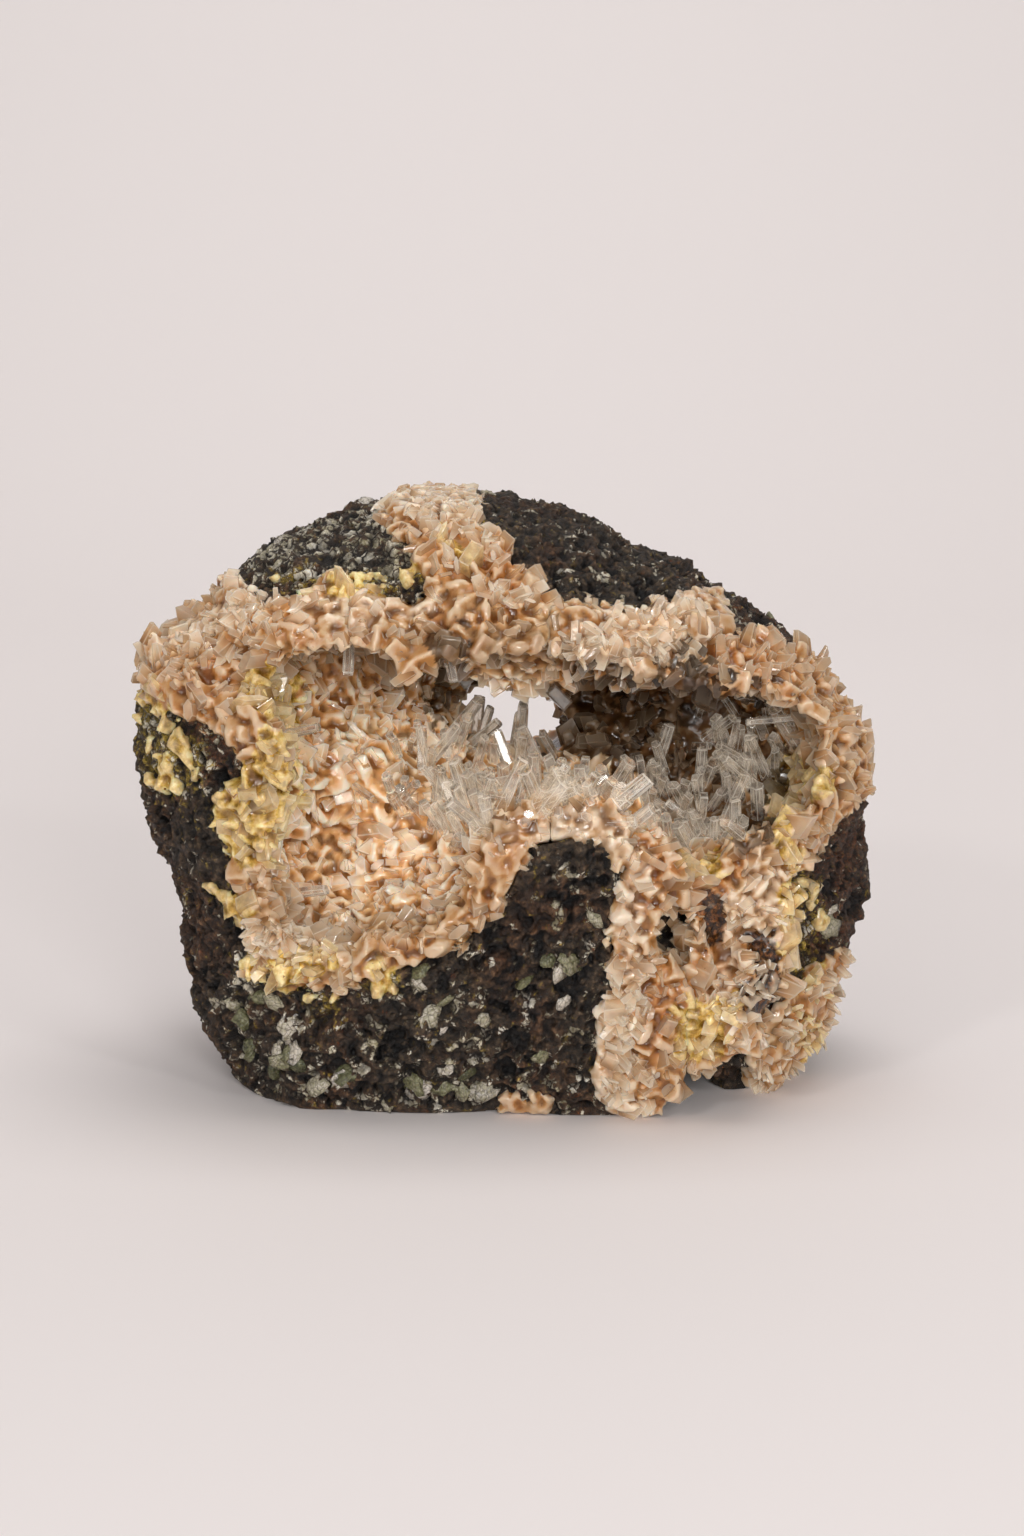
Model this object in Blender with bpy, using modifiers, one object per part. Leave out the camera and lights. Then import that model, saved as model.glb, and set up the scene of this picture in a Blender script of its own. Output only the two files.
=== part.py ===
"""Heulandite with calcite in a hollow block of basalt, at real size.

The block stands on its flat base with +Z up. -Y is the side that the main hollow opens to, and the origin is
the middle of the footprint. The basalt is one solid. One crust of heulandite lines the hollow and spills over
its rims, and sprays and single prisms of clear calcite stand on the crust.
"""

import math
import random

import bmesh
import bpy
import numpy as np
from mathutils import Matrix, Vector, noise
from mathutils.bvhtree import BVHTree

MM = 0.001

# Driving dimensions, in millimetres.
FRONT_Y = -46.0
BACK_Y = 54.0
CRUST = 6.5
GAP = 0.35
CRUST_PROUD = 1.2
CRUST_FOOT = 0.4

# How finely each form is faceted, in triangles.
FORM_TRIANGLES = 1800
HOLLOW_TRIANGLES = 880
AIR_TRIANGLES = 860
LUMP_TRIANGLES = 450
VUG_TRIANGLES = 120
UNDERCUT_TRIANGLES = 220

# The block seen from the front, as (x, z), from the left foot over the top. The points under z = 0 shape
# the swell of the walls, and the flat base cuts them off.
OUTLINE_CENTRE = (0.0, 55.0)
OUTLINE = [
    (-46.0, -12.0),
    (-57.0, 2.0),
    (-66.0, 36.0),
    (-71.0, 57.0),
    (-74.0, 73.0),
    (-71.5, 86.0),
    (-60.0, 94.0),
    (-53.5, 104.0),
    (-43.0, 112.0),
    (-26.0, 115.5),
    (-10.0, 118.0),
    (6.0, 117.0),
    (24.0, 110.5),
    (44.0, 98.5),
    (63.0, 86.0),
    (73.0, 72.0),
    (74.5, 52.0),
    (71.0, 22.0),
    (61.0, 0.0),
    (46.0, -13.0),
    (0.0, -16.0),
]

# How boxy the block is from front to back, where 2 is an ellipse. The front is boxier at the left.
FRONT_BOX_LEFT = 2.7
FRONT_BOX_RIGHT = 2.2
BACK_BOX = 2.5

# The hollow as overlapping ellipsoids of air: (centre, radii). The last one is the window through the back.
HOLLOW = [
    ((-34.0, -34.0, 51.0), (12.0, 26.0, 18.0)),
    ((-21.0, -34.0, 59.0), (18.0, 25.0, 21.0)),
    ((-24.0, -52.0, 62.0), (22.0, 26.0, 25.0)),
    ((-29.0, -22.0, 81.0), (18.0, 28.0, 17.0)),
    ((-58.0, -50.0, 92.0), (24.0, 25.0, 11.0)),
    ((4.0, -18.0, 78.0), (38.0, 42.0, 18.0)),
    ((38.0, -18.0, 69.0), (27.0, 35.0, 19.0)),
    ((1.0, 36.0, 69.0), (15.0, 36.0, 9.5)),
]
SMALL_VUG = ((33.0, -30.0, 38.5), (6.0, 17.0, 9.0))

# Where the crust spills over the outside of the block: bites out of the basalt that the crust fills.
SPILLS = [
    ((-62.0, -12.0, 93.0), (20.0, 30.0, 12.0)),
    ((-14.0, -2.0, 119.0), (10.0, 34.0, 9.0)),
    ((-7.0, -28.0, 110.0), (9.0, 16.0, 9.0)),
    ((-3.0, -34.0, 100.0), (12.0, 18.0, 9.0)),
    ((15.0, -36.0, 87.0), (12.0, 18.0, 9.0)),
    ((34.0, -34.0, 93.0), (10.0, 16.0, 10.0)),
    ((66.0, -18.0, 76.0), (18.0, 28.0, 16.0)),
    ((40.0, -40.0, 38.0), (20.0, 15.0, 30.0)),
    ((27.0, -41.0, 14.0), (7.0, 12.0, 22.0)),
    ((-47.0, -42.0, 56.0), (7.0, 12.0, 14.0)),
    ((-43.0, -42.0, 36.0), (8.0, 12.0, 8.0)),
]

# Lumps that the crust has grown: the curtain under the roof, the ball, and the column at the right.
LUMPS = [
    ((3.0, -10.0, 94.0), (17.0, 14.0, 11.0)),
    ((27.0, -22.0, 94.0), (13.0, 10.0, 9.0)),
    ((41.0, -29.0, 99.0), (5.0, 5.0, 5.0)),
    ((50.0, -32.0, 44.0), (7.0, 8.0, 8.0)),
    ((51.0, -33.0, 32.0), (6.0, 7.0, 10.0)),
    ((45.0, -34.0, 20.0), (8.0, 8.0, 8.0)),
    ((26.0, -38.0, 46.0), (6.0, 7.0, 8.0)),
    ((26.0, -38.0, 26.0), (5.0, 6.0, 24.0)),
]
RING_CENTRE = (36.0, -34.0, 36.0)
RING_RADIUS = 10.5
RING_THICKNESS = 4.5

# The air under the right of the block, between the front foot and the back one.
UNDERCUT = [
    ((38.0, -40.0, -2.0), (8.0, 44.0, 11.5)),
    ((52.0, -44.0, -2.0), (16.0, 29.0, 13.0)),
]

# The blocky crystals that stand out of the crust: how many, how far apart, and the range of their sizes.
CRYSTALS = 52
CRYSTAL_SPACING = 6.0
CRYSTAL_WIDTH = (3.5, 6.0)
CRYSTAL_LENGTH = (2.5, 5.0)
CRYSTAL_SUNK = 2.0
CRYSTAL_CLEARANCE = 0.7
CRYSTAL_FOOT = 1.0
CRYSTAL_TOP = 119.0

# The clear calcite, as points on the floor of the hollow seen from above, (x, y). The prisms stand round them.
SPRAY_FLOOR = [
    (-15.0, -9.0),
    (-9.0, -6.0),
    (-3.0, -10.0),
    (0.0, -19.0),
    (1.0, -28.0),
    (4.0, -6.0),
    (6.0, -14.0),
    (7.0, -23.0),
    (9.0, -32.0),
    (12.0, -8.0),
    (14.0, -18.0),
    (15.0, -27.0),
]
SPRAY_RIGHT = [
    (35.0, -23.0),
    (36.0, -13.0),
    (42.0, -19.0),
    (47.0, -12.0),
    (51.0, -20.0),
]
PRISMS_PER_POINT = 2
PRISM_LENGTH = (8.0, 12.5)
PRISM_WIDTH = (2.0, 3.2)
BED_RADII = (6.4, 6.4, 2.6)

# Single prisms: a point in the air of the hollow, and the way from it to the wall that carries the prism.
SINGLES = {
    "calcite_prism_roof_left": ((-30.0, -24.0, 80.0), (0.0, 0.35, 1.0)),
    "calcite_prism_roof_middle": ((-13.0, -24.0, 80.0), (0.1, 0.3, 1.0)),
    "calcite_prism_left_wall": ((-30.0, -24.0, 72.0), (-1.0, 0.4, 0.1)),
    "calcite_prism_left_floor": ((-30.0, -24.0, 55.0), (-0.7, 0.1, -0.7)),
    "calcite_prism_back_left": ((-28.0, -20.0, 62.0), (-0.2, 1.0, 0.0)),
    "calcite_prism_right_shoulder": ((45.0, -10.0, 70.0), (1.0, 0.3, 0.3)),
}


def clear_scene():
    """An empty file, so that only this object is in it."""
    for obj in list(bpy.data.objects):
        bpy.data.objects.remove(obj, do_unlink=True)


def new_collection(name, hidden=False):
    """A collection in the scene; cutters and guides go in a hidden one."""
    collection = bpy.data.collections.new(name)
    bpy.context.scene.collection.children.link(collection)
    collection.hide_render = hidden
    return collection


def object_from(name, mesh, collection):
    """A new object that holds this mesh, drawn as wires if it is a guide."""
    obj = bpy.data.objects.new(name, mesh)
    collection.objects.link(obj)
    if collection.hide_render:
        obj.hide_render = True
        obj.display_type = "WIRE"
    return obj


def object_from_bmesh(name, bm, collection):
    """A new object from a bmesh, which is freed."""
    mesh = bpy.data.meshes.new(name)
    bm.to_mesh(mesh)
    bm.free()
    return object_from(name, mesh, collection)


def applied(obj, *settings):
    """Applies modifiers, given as (type, values), to the object's mesh, and keeps the object."""
    for kind, values in settings:
        modifier = obj.modifiers.new(kind.title(), kind)
        for name, value in values.items():
            setattr(modifier, name, value)
    graph = bpy.context.evaluated_depsgraph_get()
    mesh = bpy.data.meshes.new_from_object(obj.evaluated_get(graph))
    obj.modifiers.clear()
    obj.data = mesh
    return obj


def copy_of(obj, name):
    """A copy of the object with a mesh of its own."""
    return object_from(name, obj.data.copy(), obj.users_collection[0])


def ellipsoid(bm, centre, radii, detail=4):
    """Adds an ellipsoid to the bmesh. Sizes are in millimetres."""
    size = Matrix.Diagonal((*(Vector(radii) * MM), 1.0))
    place = Matrix.Translation(Vector(centre) * MM)
    bmesh.ops.create_icosphere(bm, subdivisions=detail, radius=1.0, matrix=place @ size)


def radius_along(angle):
    """The outline's distance from its centre in this direction."""
    cx, cz = OUTLINE_CENTRE
    points = sorted((math.atan2(z - cz, x - cx), math.hypot(x - cx, z - cz)) for x, z in OUTLINE)
    angles, radii = zip(*points)
    return float(np.interp(angle, angles, radii, period=2 * math.pi))


def block_form(collection, grow=0.0):
    """The outer form of the block: the front outline, swelled from front to back and then roughened."""
    bm = bmesh.new()
    bmesh.ops.create_icosphere(bm, subdivisions=6, radius=1.0)
    cx, cz = OUTLINE_CENTRE
    middle = (FRONT_Y + BACK_Y) / 2
    depth = (BACK_Y - FRONT_Y) / 2
    for vert in bm.verts:
        x, y, z = vert.co
        angle = math.atan2(z, x)
        flat = min(1.0, math.hypot(x, z))
        if y > 0:
            power = BACK_BOX
        else:
            right = 0.5 + 0.5 * x
            power = FRONT_BOX_LEFT + (FRONT_BOX_RIGHT - FRONT_BOX_LEFT) * right
        across = flat ** (2 / power) * (radius_along(angle) + grow)
        along = math.copysign(abs(y) ** (2 / power), y) * (depth + grow)
        vert.co = (
            (cx + across * math.cos(angle)) * MM,
            (middle + along) * MM,
            (cz + across * math.sin(angle)) * MM,
        )
    return object_from_bmesh("block_form", bm, collection)


def displaced(obj, amount, scale, octaves=3, seed=0.0):
    """Moves each vertex along its normal by fractal noise. Sizes are in millimetres."""
    mesh = obj.data
    offset = Vector((seed, seed * 1.7, seed * 2.3))
    moves = []
    for vert in mesh.vertices:
        at = vert.co / (scale * MM) + offset
        moves.append(vert.normal * (amount * MM * noise.fractal(at, 1.0, 2.0, octaves)))
    for vert, move in zip(mesh.vertices, moves):
        vert.co += move
    mesh.update()


def thinned(obj, triangles):
    """Collapses the mesh to about this many triangles."""
    obj.data.calc_loop_triangles()
    share = min(1.0, triangles / len(obj.data.loop_triangles))
    applied(obj, ("DECIMATE", {"ratio": share, "use_collapse_triangulate": True}))


def boolean(obj, other, operation):
    """Applies an exact Boolean."""
    values = {"operation": operation, "object": other, "solver": "EXACT", "use_self": operation == "UNION"}
    applied(obj, ("BOOLEAN", values))


def flat_base(obj, height):
    """Cuts the form off flat at this height, in millimetres, and closes the cut."""
    bm = bmesh.new()
    bm.from_mesh(obj.data)
    cut = bmesh.ops.bisect_plane(
        bm,
        geom=bm.verts[:] + bm.edges[:] + bm.faces[:],
        dist=1e-6,
        plane_co=(0, 0, height * MM),
        plane_no=(0, 0, 1),
        clear_inner=True,
    )
    edges = [item for item in cut["geom_cut"] if isinstance(item, bmesh.types.BMEdge)]
    bmesh.ops.holes_fill(bm, edges=edges, sides=0)
    bm.to_mesh(obj.data)
    bm.free()


def blob(name, shapes, collection, voxel, triangles, rough, seed):
    """Ellipsoids melted into one closed form, roughened and thinned to a triangle count."""
    bm = bmesh.new()
    for centre, radii in shapes:
        ellipsoid(bm, centre, radii)
    obj = object_from_bmesh(name, bm, collection)
    applied(obj, ("REMESH", {"mode": "VOXEL", "voxel_size": voxel * MM}))
    applied(obj, ("SMOOTH", {"factor": 0.5, "iterations": 4}))
    displaced(obj, rough[0], rough[1], 3, seed)
    thinned(obj, triangles)
    return obj


def shrunk(obj, name, distance):
    """A copy whose surface lies this far inside, in millimetres."""
    inner = copy_of(obj, name)
    moves = [vert.normal * (distance * MM) for vert in inner.data.vertices]
    for vert, move in zip(inner.data.vertices, moves):
        vert.co -= move
    inner.data.update()
    return inner


def material(name, colour, roughness, **values):
    """A Principled material in the colour of the real thing."""
    made = bpy.data.materials.new(name)
    made.use_nodes = True
    made.diffuse_color = (*colour, 1.0)
    shader = made.node_tree.nodes["Principled BSDF"]
    shader.inputs["Base Color"].default_value = (*colour, 1.0)
    shader.inputs["Roughness"].default_value = roughness
    for key, value in values.items():
        shader.inputs[key].default_value = value
    return made


def grown_lumps(collection):
    """The crust's lumps and the ring round the small vug, melted into one form."""
    bm = bmesh.new()
    for centre, radii in LUMPS:
        ellipsoid(bm, centre, radii)
    steps = 12
    for step in range(steps):
        angle = 2 * math.pi * step / steps
        x = RING_CENTRE[0] + RING_RADIUS * math.cos(angle)
        z = RING_CENTRE[2] + 1.3 * RING_RADIUS * math.sin(angle)
        ellipsoid(bm, (x, RING_CENTRE[1], z), (RING_THICKNESS,) * 3, detail=3)
    lumps = object_from_bmesh("lumps", bm, collection)
    applied(lumps, ("REMESH", {"mode": "VOXEL", "voxel_size": 1.5 * MM}))
    displaced(lumps, 1.5, 8.0, 3, 12.0)
    return lumps


def keep_largest(obj):
    """Drops the crumbs that a cut leaves, and keeps the biggest piece."""
    bm = bmesh.new()
    bm.from_mesh(obj.data)
    seen = set()
    pieces = []
    for start in bm.verts:
        if start in seen:
            continue
        seen.add(start)
        piece = [start]
        for vert in piece:
            for edge in vert.link_edges:
                other = edge.other_vert(vert)
                if other not in seen:
                    seen.add(other)
                    piece.append(other)
        pieces.append(piece)
    pieces.sort(key=len)
    crumbs = [vert for piece in pieces[:-1] for vert in piece]
    bmesh.ops.delete(bm, geom=crumbs, context="VERTS")
    bm.to_mesh(obj.data)
    bm.free()


def tree_of(obj):
    """The object's surface, ready to be hit by rays."""
    return BVHTree.FromObject(obj, bpy.context.evaluated_depsgraph_get())


def crystal_matrix(foot, direction, spin):
    """A frame at the foot whose Z runs along the direction, turned about it by the spin."""
    turn = Vector(direction).to_track_quat("Z", "Y").to_matrix().to_4x4()
    return Matrix.Translation(foot) @ turn @ Matrix.Rotation(spin, 4, "Z")


def leaned(rng, direction, most):
    """The direction leaned over by a random share of the most it may, given in degrees."""
    lean = Vector((rng.gauss(0, 1), rng.gauss(0, 1), rng.gauss(0, 1))).normalized()
    reach = math.tan(math.radians(most)) * rng.random()
    return (Vector(direction).normalized() + lean * reach).normalized()


def add_prism(bm, frame, sunk, length, width, depth, sides, taper, grow=0.0):
    """Adds a flat-faced crystal that stands on the frame's origin, sunk into the ground. Millimetres."""
    whole = length + sunk + 2 * grow
    middle = Matrix.Translation((0, 0, ((length - sunk) / 2) * MM))
    size = Matrix.Diagonal(((width / 2 + grow) * MM, (depth / 2 + grow) * MM, whole * MM, 1.0))
    square = Matrix.Rotation(math.pi / sides, 4, "Z")
    reach = 1 / math.cos(math.pi / sides)
    bmesh.ops.create_cone(
        bm,
        cap_ends=True,
        segments=sides,
        radius1=reach,
        radius2=reach * taper,
        depth=1.0,
        matrix=frame @ middle @ size @ square,
    )


def add_bed(bm, frame, grow=0.0):
    """Adds one lump of the bed that the prisms of a spray share. Millimetres."""
    size = Matrix.Diagonal((*((radius + grow) * MM for radius in BED_RADII), 1.0))
    bmesh.ops.create_icosphere(bm, subdivisions=1, radius=1.0, matrix=frame @ size)


def crust_crystals(crust, basalt, collection):
    """Blocky crystals with flat faces, scattered over the crust where it faces the air."""
    rng = random.Random(5)
    rock = tree_of(basalt)
    mesh = crust.data
    faces = [face for face in mesh.polygons if rock.find_nearest(face.center)[3] > 2.5 * MM]
    sizes = [face.area for face in faces]
    placed = []
    bm = bmesh.new()
    for face in rng.choices(faces, sizes, k=CRYSTALS * 30):
        if len(placed) == CRYSTALS:
            break
        foot = face.center.copy()
        if any((foot - other).length < CRYSTAL_SPACING * MM for other in placed):
            continue
        frame = crystal_matrix(foot, leaned(rng, face.normal, 40), rng.uniform(0, math.pi))
        width = rng.uniform(*CRYSTAL_WIDTH)
        depth = width * rng.uniform(0.6, 1.0)
        shape = (CRYSTAL_SUNK, rng.uniform(*CRYSTAL_LENGTH), width, depth, 4, rng.uniform(0.6, 0.95))
        one = bmesh.new()
        add_prism(one, frame, *shape)
        corners = [vert.co.copy() for vert in one.verts]
        touches = BVHTree.FromBMesh(one).overlap(rock)
        one.free()
        if touches or not all(clear_of(rock, corner) for corner in corners):
            continue
        heights = [corner.z / MM for corner in corners]
        if min(heights) < CRYSTAL_FOOT or max(heights) > CRYSTAL_TOP:
            continue
        add_prism(bm, frame, *shape)
        placed.append(foot)
    return object_from_bmesh("crystals", bm, collection)


def clear_of(rock, point):
    """Whether the point lies outside the rock by the clearance that a crystal keeps."""
    near, normal, _, distance = rock.find_nearest(point)
    return distance > CRYSTAL_CLEARANCE * MM and (point - near).dot(normal) > 0


def spray(name, points, crust, parts, guides, seed):
    """A spray of clear prisms on one bed, and the socket that it sits in: (spray, socket)."""
    rng = random.Random(seed)
    ground = tree_of(crust)
    beds = bmesh.new()
    grown_beds = bmesh.new()
    prisms = bmesh.new()
    grown = bmesh.new()
    for x, y in points:
        foot, normal, _, _ = ground.ray_cast(Vector((x, y, 73.0)) * MM, Vector((0, 0, -1)))
        place = crystal_matrix(foot, normal, rng.uniform(0, math.pi))
        add_bed(beds, place)
        add_bed(grown_beds, place, GAP / 0.75)
        for _ in range(PRISMS_PER_POINT):
            side = Vector((rng.uniform(-2.5, 2.5), rng.uniform(-2.5, 2.5), 0)) * MM
            way = leaned(rng, normal + Vector((0, -0.5, 0.3)), 60)
            frame = crystal_matrix(foot + side, way, rng.uniform(0, math.pi))
            length = rng.uniform(*PRISM_LENGTH)
            width = rng.uniform(*PRISM_WIDTH)
            shape = (0.8, length, width, width * rng.uniform(0.7, 1.0), 4, rng.uniform(0.8, 1.0))
            add_prism(prisms, frame, *shape)
            add_prism(grown, frame, *shape, grow=GAP)
    bed = object_from_bmesh(name, beds, parts)
    socket = object_from_bmesh(name + "_socket", grown_beds, guides)
    boolean(bed, object_from_bmesh(name + "_prisms", prisms, guides), "UNION")
    boolean(socket, object_from_bmesh(name + "_grown", grown, guides), "UNION")
    return bed, socket


def single_prism(name, start, direction, crust, parts, guides, seed):
    """One clear prism on a wall of the hollow, and the socket that its foot is sunk in."""
    rng = random.Random(seed)
    foot, normal, _, _ = tree_of(crust).ray_cast(Vector(start) * MM, Vector(direction).normalized())
    frame = crystal_matrix(foot, leaned(rng, normal, 30), rng.uniform(0, math.pi))
    width = rng.uniform(*PRISM_WIDTH)
    shape = (1.5, rng.uniform(*PRISM_LENGTH), width, width * 0.85, 4, 0.92)
    prism = bmesh.new()
    grown = bmesh.new()
    add_prism(prism, frame, *shape)
    add_prism(grown, frame, *shape, grow=GAP)
    return object_from_bmesh(name, prism, parts), object_from_bmesh(name + "_socket", grown, guides)


def centre_on_origin(objects):
    """Moves the specimen so that the middle of its footprint's box is the origin."""
    corners = np.array([vert.co for obj in objects for vert in obj.data.vertices])
    middle = (corners.min(axis=0) + corners.max(axis=0)) / 2
    for obj in objects:
        obj.data.transform(Matrix.Translation((-middle[0], -middle[1], 0.0)))


def main():
    """Builds the specimen."""
    clear_scene()
    parts = new_collection("heulandite_with_calcite")
    guides = new_collection("guides", hidden=True)
    block = block_form(parts)
    block.name = "basalt_matrix"
    envelope = block_form(guides, CRUST_PROUD)
    envelope.name = "envelope"
    for form, foot in ((block, 0.0), (envelope, CRUST_FOOT)):
        displaced(form, 3.0, 28.0, 3, 1.0)
        thinned(form, FORM_TRIANGLES)
        flat_base(form, foot)
    walls = [(centre, [radius + CRUST for radius in radii]) for centre, radii in HOLLOW]
    hollow = blob("hollow", walls + SPILLS, guides, 2.0, HOLLOW_TRIANGLES, (1.3, 14.0), 4.0)
    air = blob("air", HOLLOW, guides, 1.5, AIR_TRIANGLES, (2.0, 11.0), 7.0)
    vug = blob("vug", [SMALL_VUG], guides, 1.0, VUG_TRIANGLES, (1.0, 6.0), 7.0)
    undercut = blob("undercut", UNDERCUT, guides, 2.0, UNDERCUT_TRIANGLES, (1.5, 14.0), 9.0)
    boolean(block, undercut, "DIFFERENCE")
    boolean(block, hollow, "DIFFERENCE")
    keep_largest(block)

    crust = object_from("heulandite_crust", shrunk(hollow, "crust_form", GAP).data.copy(), parts)
    lumps = grown_lumps(guides)
    thinned(lumps, LUMP_TRIANGLES)
    boolean(lumps, shrunk(hollow, "lump_limit", 3 * GAP), "INTERSECT")
    boolean(lumps, vug, "DIFFERENCE")
    boolean(crust, envelope, "INTERSECT")
    boolean(crust, air, "DIFFERENCE")
    boolean(crust, vug, "DIFFERENCE")
    boolean(crust, lumps, "UNION")
    keep_largest(crust)

    floor_spray, floor_socket = spray("calcite_spray_floor", SPRAY_FLOOR, crust, parts, guides, 3)
    right_spray, right_socket = spray("calcite_spray_right", SPRAY_RIGHT, crust, parts, guides, 8)
    calcites = [floor_spray, right_spray]
    sockets = [floor_socket, right_socket]
    for number, (name, (start, direction)) in enumerate(SINGLES.items()):
        prism, socket = single_prism(name, start, direction, crust, parts, guides, 20 + number)
        calcites.append(prism)
        sockets.append(socket)
    boolean(crust, crust_crystals(crust, block, guides), "UNION")
    for socket in sockets:
        boolean(crust, socket, "DIFFERENCE")
    keep_largest(crust)

    centre_on_origin([block, crust] + calcites)
    basalt = material("basalt", (0.05, 0.045, 0.04), 0.9)
    heulandite = material("heulandite", (0.75, 0.5, 0.33), 0.4)
    calcite = material("calcite", (0.95, 0.96, 0.95), 0.05, IOR=1.49)
    for obj, made in [(block, basalt), (crust, heulandite)] + [(obj, calcite) for obj in calcites]:
        obj.data.materials.clear()
        obj.data.materials.append(made)


main()
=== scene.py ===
"""The looks of a block of hollow basalt lined with heulandite, with sprays of clear calcite prisms.

Lengths in the tables are in millimetres in the CAD's frame, unless a comment says otherwise. Outlines of patches are
in picture points, x to the right and y down in a picture of 1024 by 1536, because they are what the camera sees.
"""

import math

import bmesh
import bpy
import numpy as np
from mathutils import Matrix, Vector, noise
from mathutils.bvhtree import BVHTree
from mathutils.kdtree import KDTree


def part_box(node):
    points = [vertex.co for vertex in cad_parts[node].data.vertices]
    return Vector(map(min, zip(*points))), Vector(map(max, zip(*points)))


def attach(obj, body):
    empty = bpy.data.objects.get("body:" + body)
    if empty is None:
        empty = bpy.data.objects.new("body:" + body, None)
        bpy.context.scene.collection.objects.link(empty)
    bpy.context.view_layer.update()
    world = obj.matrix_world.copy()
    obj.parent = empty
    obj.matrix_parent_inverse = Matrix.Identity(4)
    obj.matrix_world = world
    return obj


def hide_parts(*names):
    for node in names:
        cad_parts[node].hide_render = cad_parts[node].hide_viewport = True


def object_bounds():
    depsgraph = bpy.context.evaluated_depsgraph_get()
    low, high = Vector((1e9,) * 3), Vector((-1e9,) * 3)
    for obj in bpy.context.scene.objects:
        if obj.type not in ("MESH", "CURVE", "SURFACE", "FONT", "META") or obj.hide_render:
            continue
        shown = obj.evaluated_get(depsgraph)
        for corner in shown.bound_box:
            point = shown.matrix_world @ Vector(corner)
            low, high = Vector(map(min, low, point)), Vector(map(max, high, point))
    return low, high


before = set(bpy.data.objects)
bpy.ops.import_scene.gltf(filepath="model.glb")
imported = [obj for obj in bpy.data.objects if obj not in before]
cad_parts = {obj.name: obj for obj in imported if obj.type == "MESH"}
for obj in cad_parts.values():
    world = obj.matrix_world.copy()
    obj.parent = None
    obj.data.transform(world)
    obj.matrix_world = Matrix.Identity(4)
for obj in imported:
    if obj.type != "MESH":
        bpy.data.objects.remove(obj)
CAD_LOW, CAD_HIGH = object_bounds()

MM = 0.001
SEED = 7

# The camera: as high as the photograph's, and straight in front of the hollow.
TARGET = (1.6, -3.8, 63.5)
DISTANCE = 743.0
ELEVATION = 11.0
LENS = 85.0
SENSOR = 36.0
PICTURE = (1024, 1536)
TILT = math.radians(ELEVATION)
BACK = (0.0, -math.cos(TILT), math.sin(TILT))
UP = (0.0, math.sin(TILT), math.cos(TILT))


# Patches of colour, as outlines in picture points.
YELLOW = [
    [(235, 682), (270, 662), (300, 668), (300, 720), (292, 762), (304, 800), (284, 822), (262, 872), (232, 862),
     (212, 802), (240, 785), (252, 758), (262, 722), (247, 700)],
    [(134, 700), (160, 688), (178, 702), (180, 730), (206, 745), (206, 778), (180, 802), (150, 785), (138, 750)],
    [(212, 888), (262, 900), (264, 926), (238, 918)],
    [(238, 960), (300, 952), (345, 958), (330, 978), (290, 986), (250, 982)],
    [(360, 958), (402, 962), (392, 996), (366, 990)],
    [(300, 998), (335, 992), (340, 1014), (308, 1016)],
    [(768, 752), (800, 755), (832, 766), (838, 792), (802, 797), (792, 822), (802, 872), (790, 884), (775, 832),
     (764, 790)],
    [(778, 884), (812, 872), (822, 905), (832, 918), (812, 944), (824, 986), (796, 990), (782, 950)],
    [(796, 1000), (826, 992), (816, 1050), (792, 1056)],
    [(270, 572), (320, 580), (430, 570), (402, 588), (330, 596), (280, 588)],
    [(428, 530), (445, 532), (476, 562), (468, 570), (440, 548)],
    [(690, 998), (742, 1002), (722, 1062), (676, 1056), (672, 1010)],
    [(672, 862), (722, 850), (728, 878), (704, 884)],
]
ORANGE = [
    [(150, 668), (240, 664), (290, 658), (290, 690), (240, 690), (160, 692)],
    [(636, 838), (720, 838), (768, 860), (752, 890), (700, 884), (650, 872)],
    [(690, 880), (720, 900), (716, 960), (690, 1000), (668, 1050), (634, 1050), (634, 985), (690, 950)],
    [(462, 545), (520, 540), (520, 590), (470, 580)],
    [(700, 640), (780, 640), (800, 700), (720, 690)],
    [(560, 660), (690, 660), (700, 700), (560, 700)],
]
WHITE = [
    [(140, 640), (200, 620), (240, 570), (290, 590), (260, 610), (200, 640), (150, 665)],
    [(726, 890), (790, 850), (798, 930), (780, 930), (742, 970), (742, 1040), (700, 1040), (690, 1000), (730, 960)],
    [(390, 485), (480, 482), (500, 540), (440, 530), (400, 520)],
    [(228, 925), (340, 925), (340, 962), (240, 985)],
    [(560, 620), (620, 620), (660, 588), (700, 600), (700, 680), (600, 680)],
    [(290, 585), (430, 580), (440, 610), (300, 620)],
    [(520, 830), (600, 800), (650, 860), (640, 930), (610, 960), (600, 850), (540, 850)],
    [(590, 960), (645, 960), (645, 1110), (600, 1110)],
]
RUST = [
    [(700, 610), (790, 615), (790, 670), (705, 665)],
    [(735, 930), (790, 940), (790, 1030), (735, 1030)],
    [(790, 790), (865, 790), (865, 960), (800, 950)],
    [(180, 690), (240, 690), (240, 790), (190, 780)],
]
SPRAYS = {
    "calcite_spray_floor": [(385, 750), (420, 745), (470, 715), (545, 745), (600, 745), (640, 790), (630, 840),
                            (560, 835), (510, 850), (440, 850), (390, 810)],
    "calcite_spray_right": [(640, 770), (690, 700), (770, 690), (800, 740), (780, 800), (740, 845), (650, 840)],
}
# Basalt that shows through the crust.
BARE = [
    [(745, 932), (774, 928), (782, 990), (770, 1022), (742, 1022), (740, 985), (755, 975)],
    [(702, 882), (724, 900), (724, 940), (706, 950), (700, 915)],
]
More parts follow.
